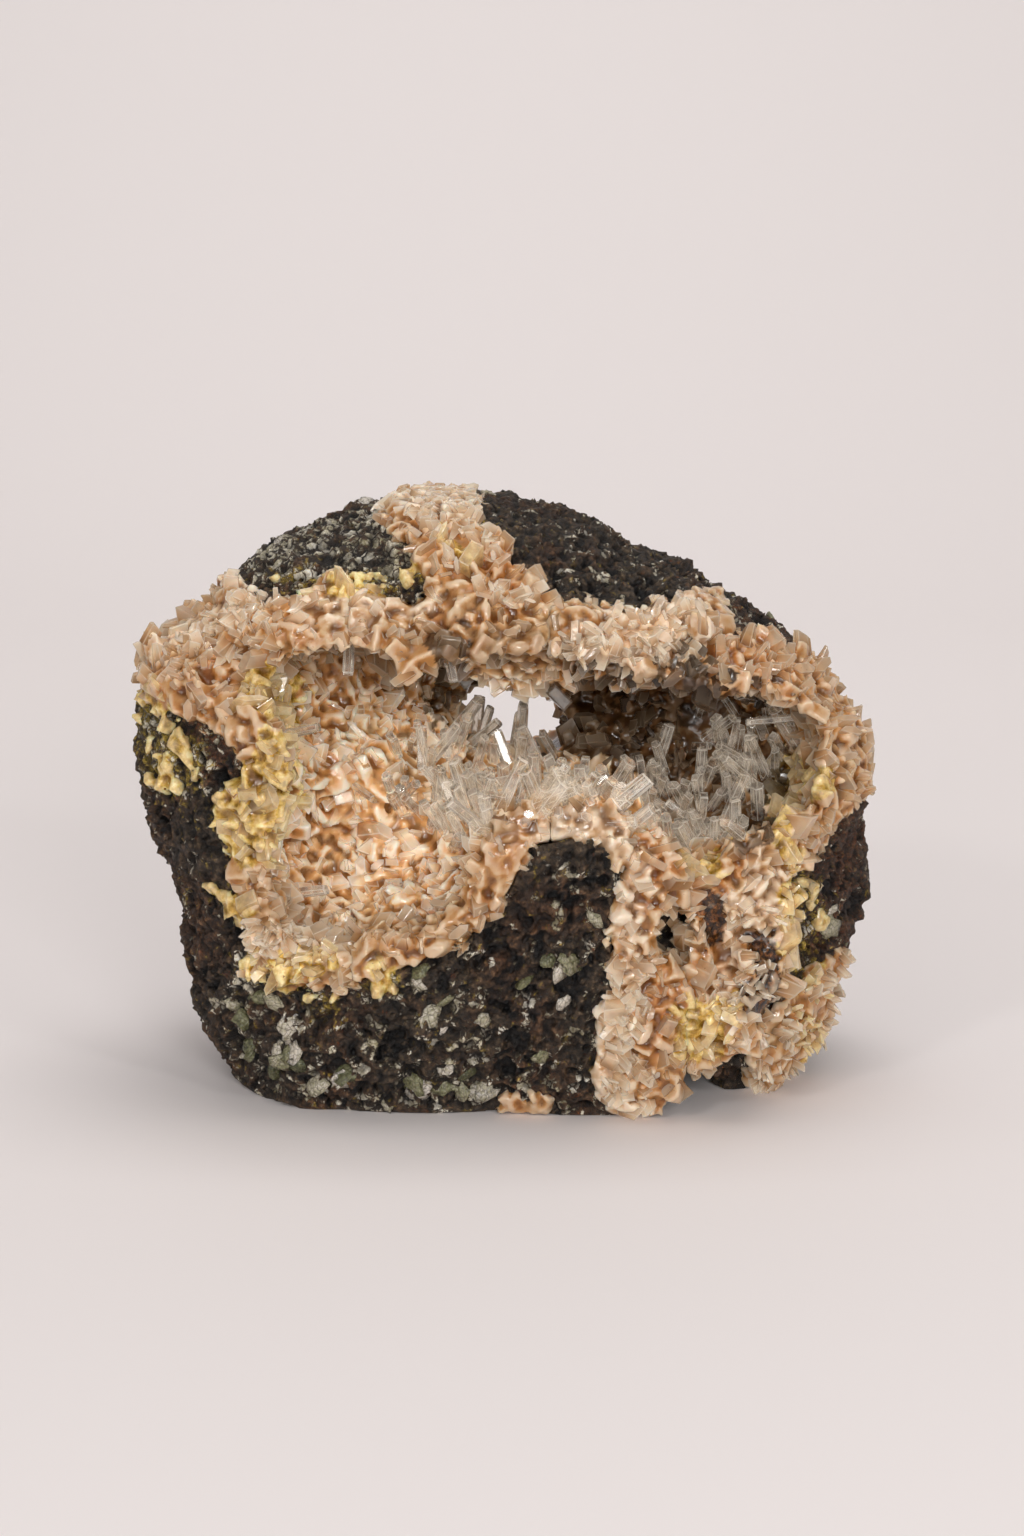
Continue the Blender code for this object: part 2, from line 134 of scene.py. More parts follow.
# How many vesicles are filled, as outlines with a value, and the value elsewhere.
FILLED = [
    ([(232, 560), (290, 515), (375, 500), (420, 520), (446, 560), (430, 585), (370, 600), (290, 600)], 0.72),
    ([(560, 540), (700, 570), (790, 640), (690, 620), (600, 640)], 0.45),
    ([(225, 960), (640, 1000), (660, 1120), (230, 1110)], 0.5),
    ([(560, 840), (640, 900), (600, 960), (540, 940)], 0.5),
    ([(134, 690), (270, 680), (260, 800), (150, 800)], 0.55),
]
PLAIN_FILLED = 0.32
# Where large fillings lie, with how many.
FLAKES = [
    ([(270, 1040), (345, 1070), (345, 1105), (262, 1098)], 9),
    ([(345, 1060), (545, 1070), (545, 1112), (345, 1110)], 12),
    ([(225, 990), (300, 1000), (300, 1060), (235, 1070)], 8),
    ([(575, 905), (630, 905), (630, 945), (575, 945)], 3),
    ([(395, 970), (450, 970), (450, 1050), (395, 1050)], 5),
    ([(825, 890), (860, 890), (860, 930), (825, 930)], 2),
    ([(450, 960), (600, 960), (600, 1060), (450, 1060)], 7),
]
# Where crystals cover the basalt.
COVERED = [
    [(745, 1090), (752, 1040), (800, 985), (842, 945), (836, 1010), (795, 1090)],
    [(505, 1097), (546, 1095), (548, 1114), (506, 1116)],
    [(600, 1000), (640, 1000), (650, 1120), (618, 1120), (600, 1080)],
    [(684, 590), (722, 592), (726, 645), (690, 640)],
]
# Shaded recesses, with how dark they are.
DEEP = [
    ([(475, 630), (568, 630), (593, 668), (542, 698), (483, 690)], 0.35),
    ([(560, 652), (690, 655), (700, 690), (560, 690)], 0.4),
    ([(385, 750), (420, 745), (470, 715), (545, 745), (600, 745), (640, 790), (630, 830), (560, 825), (510, 840),
      (440, 840), (390, 810)], 0.35),
    ([(420, 630), (466, 626), (475, 673), (458, 690), (441, 723), (428, 715), (432, 673)], 0.85),
    ([(644, 791), (711, 740), (779, 740), (796, 791), (770, 833), (711, 846), (660, 833)], 0.92),
    ([(555, 681), (593, 668), (660, 673), (686, 652), (711, 673), (762, 698), (787, 723), (779, 749), (711, 749),
      (660, 791), (627, 782), (593, 766), (559, 757), (542, 749), (559, 723)], 0.95),
]
# The way through to the back, which stays open.
WINDOW = [(448, 684), (476, 672), (530, 682), (574, 708), (568, 748), (530, 762), (484, 752), (456, 722)]
# The fine meshes' voxels, and the cells that their points are merged in at the back and where nothing shows them.
BASALT_VOXEL = 0.72
CRUST_VOXEL = 0.95
MASS_VOXEL = 0.58
BACK_CELL = 1.1
HIDDEN_CELL = 2.4
INNER_CELL = 2.0
# The crust's mass is made in four pieces, which meet at these x.
CUTS = (-30.0, 9.0, 36.0)
# The egg shape that the main hollow fills: its middle and its half axes.
HOLLOW_MIDDLE = (-8.0, -18.0, 62.0)
HOLLOW_SIZE = (58.0, 30.0, 27.0)
# Where longer blades stand, with how many and their range of widths.
CLUSTERS = [
    ([(562, 628), (620, 624), (660, 592), (700, 602), (704, 655), (640, 676), (572, 670)], 90, (1.5, 2.7)),
    ([(402, 492), (478, 486), (530, 545), (536, 600), (490, 610), (440, 560)], 60, (1.7, 3.2)),
    ([(232, 925), (338, 925), (338, 958), (244, 975)], 50, (1.4, 2.6)),
    ([(600, 960), (645, 960), (648, 1105), (605, 1100)], 50, (1.8, 3.3)),
    ([(700, 1000), (760, 960), (790, 850), (800, 900), (770, 980), (742, 1050)], 50, (1.5, 2.8)),
    ([(655, 912), (692, 912), (692, 946), (655, 946)], 7, (1.2, 1.9)),
    ([(150, 655), (240, 600), (300, 600), (300, 640), (200, 660)], 50, (1.6, 3.0)),
    ([(800, 985), (862, 930), (858, 1010), (800, 1085), (745, 1105), (760, 1060)], 80, (1.4, 2.6)),
]


# Arrays, meshes and objects.


def linked(name, data):
    """A new object with this data, in the scene."""
    obj = bpy.data.objects.new(name, data)
    bpy.context.scene.collection.objects.link(obj)
    return obj


def arrays_of(mesh):
    """The mesh's points and its triangles, as arrays."""
    points = np.empty(len(mesh.vertices) * 3)
    mesh.vertices.foreach_get("co", points)
    mesh.calc_loop_triangles()
    triangles = np.empty(len(mesh.loop_triangles) * 3, np.int64)
    mesh.loop_triangles.foreach_get("vertices", triangles)
    return points.reshape(-1, 3), triangles.reshape(-1, 3)


def arrays_from(bm):
    """A bmesh's points and triangles, as arrays. It is freed."""
    mesh = bpy.data.meshes.new("form")
    bm.to_mesh(mesh)
    bm.free()
    arrays = arrays_of(mesh)
    bpy.data.meshes.remove(mesh)
    return arrays


def new_object(name, points, triangles, **attributes):
    """A mesh object from arrays, with float attributes on its points."""
    mesh = bpy.data.meshes.new(name)
    mesh.vertices.add(len(points))
    mesh.vertices.foreach_set("co", np.ascontiguousarray(points, np.float32).ravel())
    mesh.loops.add(len(triangles) * 3)
    mesh.loops.foreach_set("vertex_index", np.ascontiguousarray(triangles, np.int32).ravel())
    mesh.polygons.add(len(triangles))
    mesh.polygons.foreach_set("loop_start", np.arange(0, len(triangles) * 3, 3, dtype=np.int32))
    mesh.update()
    mesh.validate()
    for key, values in attributes.items():
        values = np.asarray(values, np.float32)
        kind = "FLOAT" if values.ndim == 1 else "FLOAT_VECTOR"
        layer = mesh.attributes.new(key, kind, "POINT")
        layer.data.foreach_set("value" if values.ndim == 1 else "vector", values.ravel())
    return linked(name, mesh)


def finished(obj, material, slot, *nodes):
    """Gives a piece its material and its place in the frame."""
    obj.data.materials.clear()
    obj.data.materials.append(material)
    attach(obj, "root")
    if nodes:
        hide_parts(*nodes)
    return obj


def modified(obj, *settings):
    """Applies modifiers, given as (type, values), to the object's mesh."""
    for kind, values in settings:
        modifier = obj.modifiers.new(kind.title(), kind)
        for key, value in values.items():
            setattr(modifier, key, value)
    mesh = bpy.data.meshes.new_from_object(obj.evaluated_get(bpy.context.evaluated_depsgraph_get()))
    obj.modifiers.clear()
    obj.data = mesh
    return obj


def fine_copy(node, name, voxel):
    """A finely meshed copy of a CAD node's solid."""
    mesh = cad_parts[node].data.copy()
    obj = linked(name, mesh)
    bm = bmesh.new()
    bm.from_mesh(mesh)
    bmesh.ops.remove_doubles(bm, verts=bm.verts[:], dist=1e-6)
    bm.to_mesh(mesh)
    bm.free()
    return modified(obj, ("REMESH", {"mode": "VOXEL", "voxel_size": voxel * MM}))


def thinned(obj, cells):
    """The object's points and triangles, with its points merged into one for each cubic cell.

    Cells gives each point the size of its cell in millimetres, or 0 where it stays."""
    points, triangles = arrays_of(obj.data)
    merged = cells > 0
    keys = np.column_stack([np.floor(points[merged] / (cells[merged, None] * MM)), cells[merged]])
    group = np.unique(keys, axis=0, return_inverse=True)[1].reshape(-1)
    index = np.arange(len(points))
    index[merged] = len(points) + group
    index = np.unique(index, return_inverse=True)[1]
    sums = [np.bincount(index, points[:, axis]) for axis in range(3)]
    triangles = index[triangles]
    a, b, c = triangles.T
    triangles = triangles[(a != b) & (b != c) & (c != a)]
    # Two triangles that fell together cancel out.
    _, first, count = np.unique(np.sort(triangles, axis=1), axis=0, return_index=True, return_counts=True)
    return np.stack(sums, axis=1) / np.bincount(index)[:, None], triangles[np.sort(first[count % 2 == 1])]


def slab_of(obj, low, high):
    """The part of a solid between two x in metres, closed where it is cut: its points and triangles."""
    bm = bmesh.new()
    bm.from_mesh(obj.data)
    for x, inner in ((low, True), (high, False)):
        if abs(x) > 0.5:
            continue
        bmesh.ops.bisect_plane(
            bm,
            geom=bm.verts[:] + bm.edges[:] + bm.faces[:],
            dist=1e-7,
            plane_co=(x, 0, 0),
            plane_no=(1, 0, 0),
            clear_inner=inner,
            clear_outer=not inner,
        )
        rim = [edge for edge in bm.edges if edge.is_boundary]
        bmesh.ops.triangle_fill(bm, edges=rim, use_dissolve=False, use_beauty=False)
    bmesh.ops.recalc_face_normals(bm, faces=bm.faces[:])
    return arrays_from(bm)


def normals_of(mesh):
    """The points' normals."""
    values = np.empty(len(mesh.vertices) * 3)
    mesh.vertex_normals.foreach_get("vector", values)
    return values.reshape(-1, 3)


def convexity(mesh, rounds):
    """How far each point stands out of its neighbourhood, in millimetres: over 0 on crests and under 0 in creases."""
    points, _ = arrays_of(mesh)
    edges = np.empty(len(mesh.edges) * 2, np.int64)
    mesh.edges.foreach_get("vertices", edges)
    a, b = edges.reshape(-1, 2).T
    count = np.bincount(edges, minlength=len(points))[:, None]
    smooth = points.copy()
    for _ in range(rounds):
        total = [
            np.bincount(a, smooth[b, axis], len(points)) + np.bincount(b, smooth[a, axis], len(points))
            for axis in range(3)
        ]
        smooth = np.stack(total, axis=1) / count
    return np.einsum("ij,ij->i", points - smooth, normals_of(mesh)) / MM


# What the camera sees.


def picture_points(points):
    """Where the camera sees these points, in picture points."""
    back, up = np.array(BACK), np.array(UP)
    seen = points / MM - (np.array(TARGET) + back * DISTANCE)
    scale = LENS / SENSOR * PICTURE[1] / -(seen @ back)
    return np.stack([PICTURE[0] / 2 + scale * seen[:, 0], PICTURE[1] / 2 - scale * (seen @ up)], axis=1)


def camera_ray(px, py):
    """The line of sight through a picture point: where it starts and its direction."""
    back, up = Vector(BACK), Vector(UP)
    reach = LENS / SENSOR * PICTURE[1]
    way = Vector((px - PICTURE[0] / 2, 0, 0)) + up * (PICTURE[1] / 2 - py) - back * reach
    return (Vector(TARGET) + back * DISTANCE) * MM, way.normalized()


def inside(spots, outline):
    """Which of the picture points lie inside the outline."""
    x, y = spots[:, 0], spots[:, 1]
    result = np.zeros(len(spots), bool)
    for (x0, y0), (x1, y1) in zip(outline, outline[1:] + outline[:1]):
        if y0 == y1:
            continue
        crosses = (y0 > y) != (y1 > y)
        result ^= crosses & (x < (x1 - x0) * (y - y0) / (y1 - y0) + x0)
    return result


def shares_of(spots, patches, blur, rng, outside=0.0):
    """At each picture point, the value of the last of the patches that it lies in, with ragged borders.

    Patches are (outline, value) pairs."""
    moved = spots + rng.normal(0, blur, spots.shape)
    result = np.full(len(spots), outside)
    for outline, value in patches:
        result[inside(moved, outline)] = value
    return result


def turned_away(points, normals):
    """Which points face the back or lie near it, where the camera sees nothing."""
    return (normals[:, 1] > 0.35) | (points[:, 1] > 25 * MM)


def front_share(points, normals, outlines, blur, rng):
    """The share of a patch at each point, for what faces the camera."""
    share = shares_of(picture_points(points), [(outline, 1.0) for outline in outlines], blur, rng)
    share[turned_away(points, normals)] = 0.0
    return share


def deep_share(points, normals, rng):
    """How dark the crust is in the shaded recesses."""
    share = shares_of(picture_points(points), DEEP, 9, rng)
    share[(normals[:, 1] > 0.5) | (points[:, 1] > 35 * MM)] = 0.0
    return share * rng.uniform(0.75, 1.0, len(points))


def rim_share(spots, rng):
    """1 where crystals stand on the block's outside, where the crust gets painted shade, 0 in its hollow, with a soft
    border.
    """
    inner = np.linalg.norm((spots / MM - HOLLOW_MIDDLE) / HOLLOW_SIZE, axis=1)
    return np.clip((inner - 0.95 + rng.normal(0, 0.04, len(spots))) / 0.15, 0, 1)


def patch_attributes(points, normals, rng):
    """The crust's patches of colour at each point."""
    return {
        "yellow": front_share(points, normals, YELLOW, 4, rng),
        "orange": front_share(points, normals, ORANGE, 9, rng) * rng.uniform(0.4, 1.0, len(points)),
        "white": front_share(points, normals, WHITE, 8, rng) * rng.uniform(0.4, 1.0, len(points)),
        "bare": front_share(points, normals, BARE, 1.5, rng),
        "deep": deep_share(points, normals, rng),
        "rim": rim_share(points, rng),
    }


# Surfaces and what lies near them.


def tree_of(obj):
    """The surface of an object at the origin, ready to be hit by rays."""
    points, triangles = arrays_of(obj.data)
    return BVHTree.FromPolygons([tuple(point) for point in points], [tuple(tri) for tri in triangles])


def joined_tree(objects):
    """The surfaces of several objects at the origin, ready to be hit by rays."""
    all_points, all_triangles = [], []
    start = 0
    for obj in objects:
        points, triangles = arrays_of(obj.data)
        all_points.extend(tuple(point) for point in points)
        all_triangles.extend(tuple(tri) for tri in triangles + start)
        start += len(points)
    return BVHTree.FromPolygons(all_points, all_triangles)


def distances_to(tree, points, most):
    """How far each point is from the surface, up to a limit."""
    result = np.full(len(points), most)
    for index, point in enumerate(points):
        hit = tree.find_nearest(point, most)
        if hit[3] is not None:
            result[index] = hit[3]
    return result


def facing(tree, points, normals, most):
    """Which points have the other surface close in front of them."""
    result = np.zeros(len(points), bool)
    for index, point in enumerate(points):
        near = tree.find_nearest(Vector(point), most * MM)
        if near[0] is not None:
            way = near[0] - Vector(point)
            result[index] = way.dot(Vector(normals[index])) > 0.55 * way.length
    return result


def seen_spots(tree, outline, count, rng):
    """Random points on the surface inside a picture outline, with their normals."""
    low, high = np.min(outline, axis=0), np.max(outline, axis=0)
    spots, ways = [], []
    for _ in range(count * 20):
        if len(spots) == count:
            break
        at = rng.uniform(low, high)
        if not inside(at[None], outline)[0]:
            continue
        start, way = camera_ray(*at)
        hit, normal, _, _ = tree.ray_cast(start, way)
        if hit is not None:
            spots.append(hit)
            ways.append(normal)
    return np.array(spots), np.array(ways)


def kept_in_box(points, inset):
    """The points, with none outside the CAD's box or nearer to its sides and top than the inset, in millimetres."""
    inset *= MM
    return np.clip(points, np.array(CAD_LOW) + [inset, inset, 0], np.array(CAD_HIGH) - inset)


# Noise.


def pits(points, cell, radius, share):
    """How deep each point lies in a round pit, 0 to 1. Cell and radius are in millimetres."""
    result = np.zeros(len(points))
    for index, point in enumerate(points):
        distances, centres = noise.voronoi(Vector(point) / (cell * MM))
        centre = centres[0]
        chance = math.sin(centre.x * 12.99 + centre.y * 78.23 + centre.z * 37.72) * 43758.5453 % 1.0
        if chance > share:
            continue
        size = radius / cell * (0.6 + 0.7 * (chance / share))
        result[index] = max(0.0, 1.0 - (distances[0] / size) ** 2)
    return result


def fractal(points, scale, octaves, offset=0.0):
    """Fractal noise at each point, about -1 to 1. The scale is in millimetres."""
    shift = Vector((offset, offset * 1.3, offset * 0.7))
    return np.array([noise.fractal(Vector(p) / (scale * MM) + shift, 1.0, 2.0, octaves) for p in points])


def ridged(points, scale, offset=0.0):
    """Noise with sharp crests, 0 to 1. The scale is in millimetres."""
    shift = Vector((offset, offset * 1.3, offset * 0.7))
    return np.array([1.0 - abs(noise.noise(Vector(p) / (scale * MM) + shift)) * 2 for p in points])


# Materials.


class Shader:
    """A material's node tree, built a node at a time."""

    def __init__(self, name):
        self.material = bpy.data.materials.new(name)
        self.material.use_nodes = True
        self.tree = self.material.node_tree
        self.surface = self.tree.nodes["Principled BSDF"]
        self.place = self.node("ShaderNodeTexCoord").outputs["Object"]

    def node(self, kind, **settings):
        made = self.tree.nodes.new(kind)
        for key, value in settings.items():
            setattr(made, key, value)
        return made

    def plug(self, value, socket):
        if isinstance(value, bpy.types.NodeSocket):
            self.tree.links.new(value, socket)
        else:
            socket.default_value = value

    def texture(self, size, detail, roughness, place, distortion):
        made = self.node("ShaderNodeTexNoise")
        self.plug(place or self.place, made.inputs["Vector"])
        made.inputs["Scale"].default_value = 1 / (size * MM)
        made.inputs["Detail"].default_value = detail
        made.inputs["Roughness"].default_value = roughness
        made.inputs["Distortion"].default_value = distortion
        return made

    def noise(self, size, detail=4.0, roughness=0.55, place=None, distortion=0.0):
        return self.texture(size, detail, roughness, place, distortion).outputs["Fac"]

    def warped(self, size, amount, detail=3.0):
        """Places shifted by noise, so that what is drawn on them gets ragged borders."""
        shift = self.node("ShaderNodeVectorMath", operation="SUBTRACT")
        self.plug(self.texture(size, detail, 0.6, None, 0.0).outputs["Color"], shift.inputs[0])
        shift.inputs[1].default_value = (0.5, 0.5, 0.5)
        scaled = self.node("ShaderNodeVectorMath", operation="MULTIPLY_ADD")
        self.plug(shift.outputs[0], scaled.inputs[0])
        scaled.inputs[1].default_value = (amount * MM,) * 3
        self.plug(self.place, scaled.inputs[2])
        return scaled.outputs[0]

    def cells(self, size, feature="F1", place=None):
        made = self.node("ShaderNodeTexVoronoi", feature=feature)
        self.plug(place or self.place, made.inputs["Vector"])
        made.inputs["Scale"].default_value = 1 / (size * MM)
        return made.outputs["Distance"]

    def value(self, name):
        return self.node("ShaderNodeAttribute", attribute_name=name).outputs["Fac"]

    def vector(self, name):
        return self.node("ShaderNodeAttribute", attribute_name=name).outputs["Vector"]

    def math(self, operation, a, b=0.0, clamp=False):
        made = self.node("ShaderNodeMath", operation=operation, use_clamp=clamp)
        self.plug(a, made.inputs[0])
        self.plug(b, made.inputs[1])
        return made.outputs[0]

    def remap(self, value, low, high, to_low=0.0, to_high=1.0):
        made = self.node("ShaderNodeMapRange")
        self.plug(value, made.inputs["Value"])
        for key, number in zip(("From Min", "From Max", "To Min", "To Max"), (low, high, to_low, to_high)):
            made.inputs[key].default_value = number
        return made.outputs["Result"]

    def mix(self, share, a, b, blend="MIX"):
        made = self.node("ShaderNodeMix", data_type="RGBA", blend_type=blend)
        colours = [socket for socket in made.inputs if socket.type == "RGBA"]
        self.plug(share, made.inputs[0])
        self.plug(a, colours[0])
        self.plug(b, colours[1])
        return next(socket for socket in made.outputs if socket.type == "RGBA")

    def times(self, a, b, clamp=False):
        return self.math("MULTIPLY", a, b, clamp)

    def plus(self, a, b, clamp=False):
        return self.math("ADD", a, b, clamp)

    def shades(self, value, *stops):
        """A ramp of colours given in the usual 0 to 255."""
        return self.ramp(value, *((position, rgb(*colour)) for position, colour in stops))

    def ramp(self, value, *stops):
        made = self.node("ShaderNodeValToRGB")
        self.plug(value, made.inputs[0])
        elements = made.color_ramp.elements
        while len(elements) < len(stops):
            elements.new(0.5)
        for element, (position, colour) in zip(elements, stops):
            element.position = position
            element.color = (*colour, 1.0)
        return made.outputs["Color"]

    def bump(self, height, distance, strength=1.0, after=None):
        made = self.node("ShaderNodeBump")
        made.inputs["Strength"].default_value = strength
        made.inputs["Distance"].default_value = distance * MM
        self.plug(height, made.inputs["Height"])
        if after is not None:
            self.plug(after, made.inputs["Normal"])
        return made.outputs["Normal"]

    def set(self, **values):
        for key, value in values.items():
            self.plug(value, self.surface.inputs[key.replace("_", " ")])
        return self.material


def rgb(*colour):
    """A colour given in the usual 0 to 255, as the shaders take it."""
    parts = (part / 255 for part in colour)
    return tuple(part / 12.92 if part <= 0.04045 else ((part + 0.055) / 1.055) ** 2.4 for part in parts)


def rgba(*colour):
    return (*rgb(*colour), 1.0)


def basalt_material():
    """Dark vesicular basalt: black and brown, rust and moss in spots, and flat pale fillings in its vesicles. Painted
    shade darkens its creases and pits, and painted highlight lightens its crests.
    """
    s = Shader("basalt")
    broad = s.noise(14, 4, 0.6)
    grain = s.noise(1.3, 6, 0.72)
    fine = s.noise(0.4, 3, 0.65)
    colour = s.shades(grain, (0.34, (18, 13, 9)), (0.5, (52, 41, 30)), (0.6, (88, 71, 53)), (0.7, (136, 114, 88)))
    brown = s.shades(grain, (0.34, (22, 13, 7)), (0.52, (74, 47, 28)), (0.68, (130, 90, 58)))
    colour = s.mix(s.remap(broad, 0.46, 0.66, 0.0, 0.8), colour, brown)
    rust_at = s.plus(s.remap(s.noise(2.2, 4, 0.7), 0.6, 0.7), s.times(s.value("rust"), 0.45))
    rust = s.shades(s.noise(0.8, 4, 0.7), (0.38, (58, 27, 11)), (0.58, (122, 60, 22)), (0.7, (184, 112, 46)))
    colour = s.mix(s.times(rust_at, s.remap(fine, 0.45, 0.62), clamp=True), colour, rust)
    mossy_at = s.plus(s.remap(s.noise(2.6, 4, 0.65, distortion=0.6), 0.6, 0.67), s.value("yellow"))
    mossy = s.shades(s.noise(0.8, 5, 0.7), (0.36, (70, 60, 16)), (0.52, (152, 126, 42)), (0.66, (218, 190, 104)))
    colour = s.mix(s.times(mossy_at, s.remap(s.noise(1.7, 4, 0.7), 0.46, 0.54), clamp=True), colour, mossy)
    reach = s.plus(s.noise(3.0, 6, 0.62, distortion=0.4), s.times(s.value("filled"), 0.3))
    cracks = s.remap(s.cells(2.6, "DISTANCE_TO_EDGE", s.warped(1.4, 1.6, 4)), 0.03, 0.09)
    filling = s.times(s.remap(reach, 0.7, 0.72), cracks)
    milky = s.plus(s.times(s.noise(6.0, 2), 0.5), s.times(s.noise(0.7, 5, 0.75), 0.7))
    stops = (0.4, (86, 78, 50)), (0.52, (142, 132, 102)), (0.62, (194, 184, 162)), (0.74, (236, 229, 216))
    pale = s.shades(milky, *stops)
    colour = s.mix(filling, colour, pale)
    # Painted shade in the creases and painted highlight on the crests: the crest value darkens or lightens the colour.
    crest = s.ramp(s.value("crest"), (0.0, (0.1, 0.08, 0.07)), (0.4, (0.66, 0.65, 0.64)), (1.0, (1.8, 1.8, 1.8)))
    colour = s.mix(1.0, colour, crest, "MULTIPLY")
    # Painted shade: the pits are darkened by how deep they are.
    hole = s.ramp(s.value("hole"), (0.0, (1.0, 1.0, 1.0)), (0.6, (0.12, 0.09, 0.07)))
    colour = s.mix(1.0, colour, hole, "MULTIPLY")
    relief = s.bump(fine, 0.35, 1.0)
    relief = s.bump(grain, 2.0, 1.0, relief)
    relief = s.bump(s.cells(1.5, "SMOOTH_F1", s.warped(1.2, 1.0)), 1.3, 1.0, relief)
    relief = s.bump(filling, 0.4, 0.8, relief)
    gloss = s.math("SUBTRACT", s.remap(grain, 0.3, 0.7, 0.34, 0.7), s.times(filling, 0.15))
    return s.set(Base_Color=colour, Roughness=gloss, Normal=relief, Specular_IOR_Level=0.5)


def heulandite_material(name, scatter, reach, clear, paler):
    """Peach heulandite: waxy and translucent, glossy on its faces, paler, orange or yellow in patches. Shade is painted
    into its recesses, creases, crystal feet and the block's outside, and highlights onto its crests and crystal edges.
    """
    s = Shader(name)
    tint = s.plus(s.times(s.value("tint"), 0.25), s.times(s.noise(7, 4), 0.75))
    colour = s.shades(tint, (0.2, (206, 146, 84)), (0.48, (231, 183, 125)), (0.76, (246, 224, 190)))
    colour = s.mix(s.times(s.value("orange"), 0.6), colour, rgba(236, 166, 90))
    colour = s.mix(s.times(s.value("white"), 0.75), colour, rgba(242, 230, 214))
    yellow = s.shades(s.noise(2.2, 5, 0.65), (0.36, (156, 126, 40)), (0.5, (226, 192, 98)), (0.62, (250, 232, 166)))
    colour = s.mix(s.value("yellow"), colour, yellow)
    rocky = s.shades(s.noise(1.0, 5, 0.7), (0.36, (26, 19, 12)), (0.5, (88, 60, 34)), (0.66, (184, 124, 62)))
    colour = s.mix(s.value("bare"), colour, rocky)
    colour = s.mix(paler, colour, rgba(252, 237, 210))
    # Painted shade in the shaded recesses.
    colour = s.mix(s.value("deep"), colour, rgba(46, 25, 11))
    # Painted shade: creases and the feet of crystals are darkened by the crest value.
    crest = s.ramp(s.value("crest"), (0.0, (0.34, 0.22, 0.13)), (0.4, (0.8, 0.7, 0.6)), (0.66, (1.0, 1.0, 1.0)))
    colour = s.mix(1.0, colour, crest, "MULTIPLY")
    # Painted highlight: crests and crystal edges are made paler, less in the painted shade of recesses and on yellow.
    pale = s.times(s.remap(s.value("crest"), 0.6, 0.95), 0.65)
    pale = s.plus(pale, s.times(s.value("edge"), 0.8), clamp=True)
    pale = s.times(pale, s.math("SUBTRACT", 1.0, s.value("deep")))
    pale = s.times(pale, s.math("SUBTRACT", 1.0, s.times(s.value("yellow"), 0.6)))
    colour = s.mix(pale, colour, rgba(255, 247, 234))
    # Painted shade: the crust on the block's outside is darkened, less where it is yellow or white.
    shaded = s.mix(1.0, colour, (0.6, 0.53, 0.45, 1.0), "MULTIPLY")
    light = s.plus(s.times(s.value("yellow"), 0.4), s.times(s.value("white"), 0.45), clamp=True)
    outer = s.times(s.value("rim"), s.math("SUBTRACT", 1.0, light))
    colour = s.mix(outer, colour, shaded)
    specks = s.times(s.remap(s.noise(0.6, 2), 0.7, 0.75), 0.5)
    colour = s.mix(specks, colour, rgba(110, 68, 36))
    relief = s.bump(s.noise(0.7, 3), 0.12, 0.4)
    relief = s.bump(s.noise(2.0, 3), 0.4, 0.3, relief)
    return s.set(
        Base_Color=colour,
        Roughness=s.remap(s.noise(1.4, 3), 0.35, 0.65, 0.03, 0.24),
        Subsurface_Weight=scatter,
        Subsurface_Radius=(1.0, 0.74, 0.54),
        Subsurface_Scale=reach * MM,
        Transmission_Weight=clear,
        IOR=1.5,
        Normal=relief,
    )


def calcite_material():
    """Clear calcite: see-through and a little milky, with painted bright outlines along its edges, where it is less
    clear, and fine growth lines along each prism.
    """
    s = Shader("calcite")
    stretch = s.node("ShaderNodeVectorMath", operation="MULTIPLY")
    s.plug(s.vector("local"), stretch.inputs[0])
    stretch.inputs[1].default_value = (1.0, 1.0, 0.04)
    lines = s.noise(0.6, 2, 0.5, place=stretch.outputs[0])
    relief = s.bump(lines, 0.1, 0.3)
    clear = s.remap(s.noise(2.4, 3), 0.42, 0.6, 0.74, 0.98)
    # Painted highlight: the edges are less clear, so they show as bright milky outlines.
    clear = s.times(clear, s.remap(s.value("edge"), 0.0, 1.0, 1.0, 0.45))
    absorb = s.node("ShaderNodeVolumeAbsorption")
    absorb.inputs["Color"].default_value = rgba(244, 236, 222)
    absorb.inputs["Density"].default_value = 20.0
    s.tree.links.new(absorb.outputs[0], s.tree.nodes["Material Output"].inputs["Volume"])
    return s.set(
        Base_Color=rgba(230, 221, 208), Roughness=0.02, Transmission_Weight=clear, IOR=1.52, Normal=relief
    )


def amygdule_material():
    """The pale mineral in the basalt's vesicles: milky, beige, green or grey, cracked into grains."""
    s = Shader("amygdule")
    tint = s.plus(s.value("tint"), s.times(s.math("SUBTRACT", s.noise(1.1, 5, 0.7), 0.5), 1.4))
    stops = (0.0, (66, 68, 44)), (0.35, (118, 116, 84)), (0.65, (160, 152, 130)), (1.0, (206, 196, 184))
    colour = s.shades(tint, *stops)
    grains = s.cells(1.1, "DISTANCE_TO_EDGE", s.warped(1.0, 0.8))
    colour = s.mix(s.remap(grains, 0.08, 0.0, 0.0, 0.8), colour, rgba(58, 48, 32))
    relief = s.bump(grains, 0.5, 0.8)
    relief = s.bump(s.noise(0.5, 3), 0.3, 0.8, relief)
    return s.set(
        Base_Color=colour,
        Roughness=s.remap(s.noise(0.8), 0.3, 0.7, 0.15, 0.5),
        Subsurface_Weight=0.4,
        Subsurface_Radius=(1.0, 0.9, 0.7),
        Subsurface_Scale=0.9 * MM,
        Normal=relief,
    )


# Many copies of a few forms.


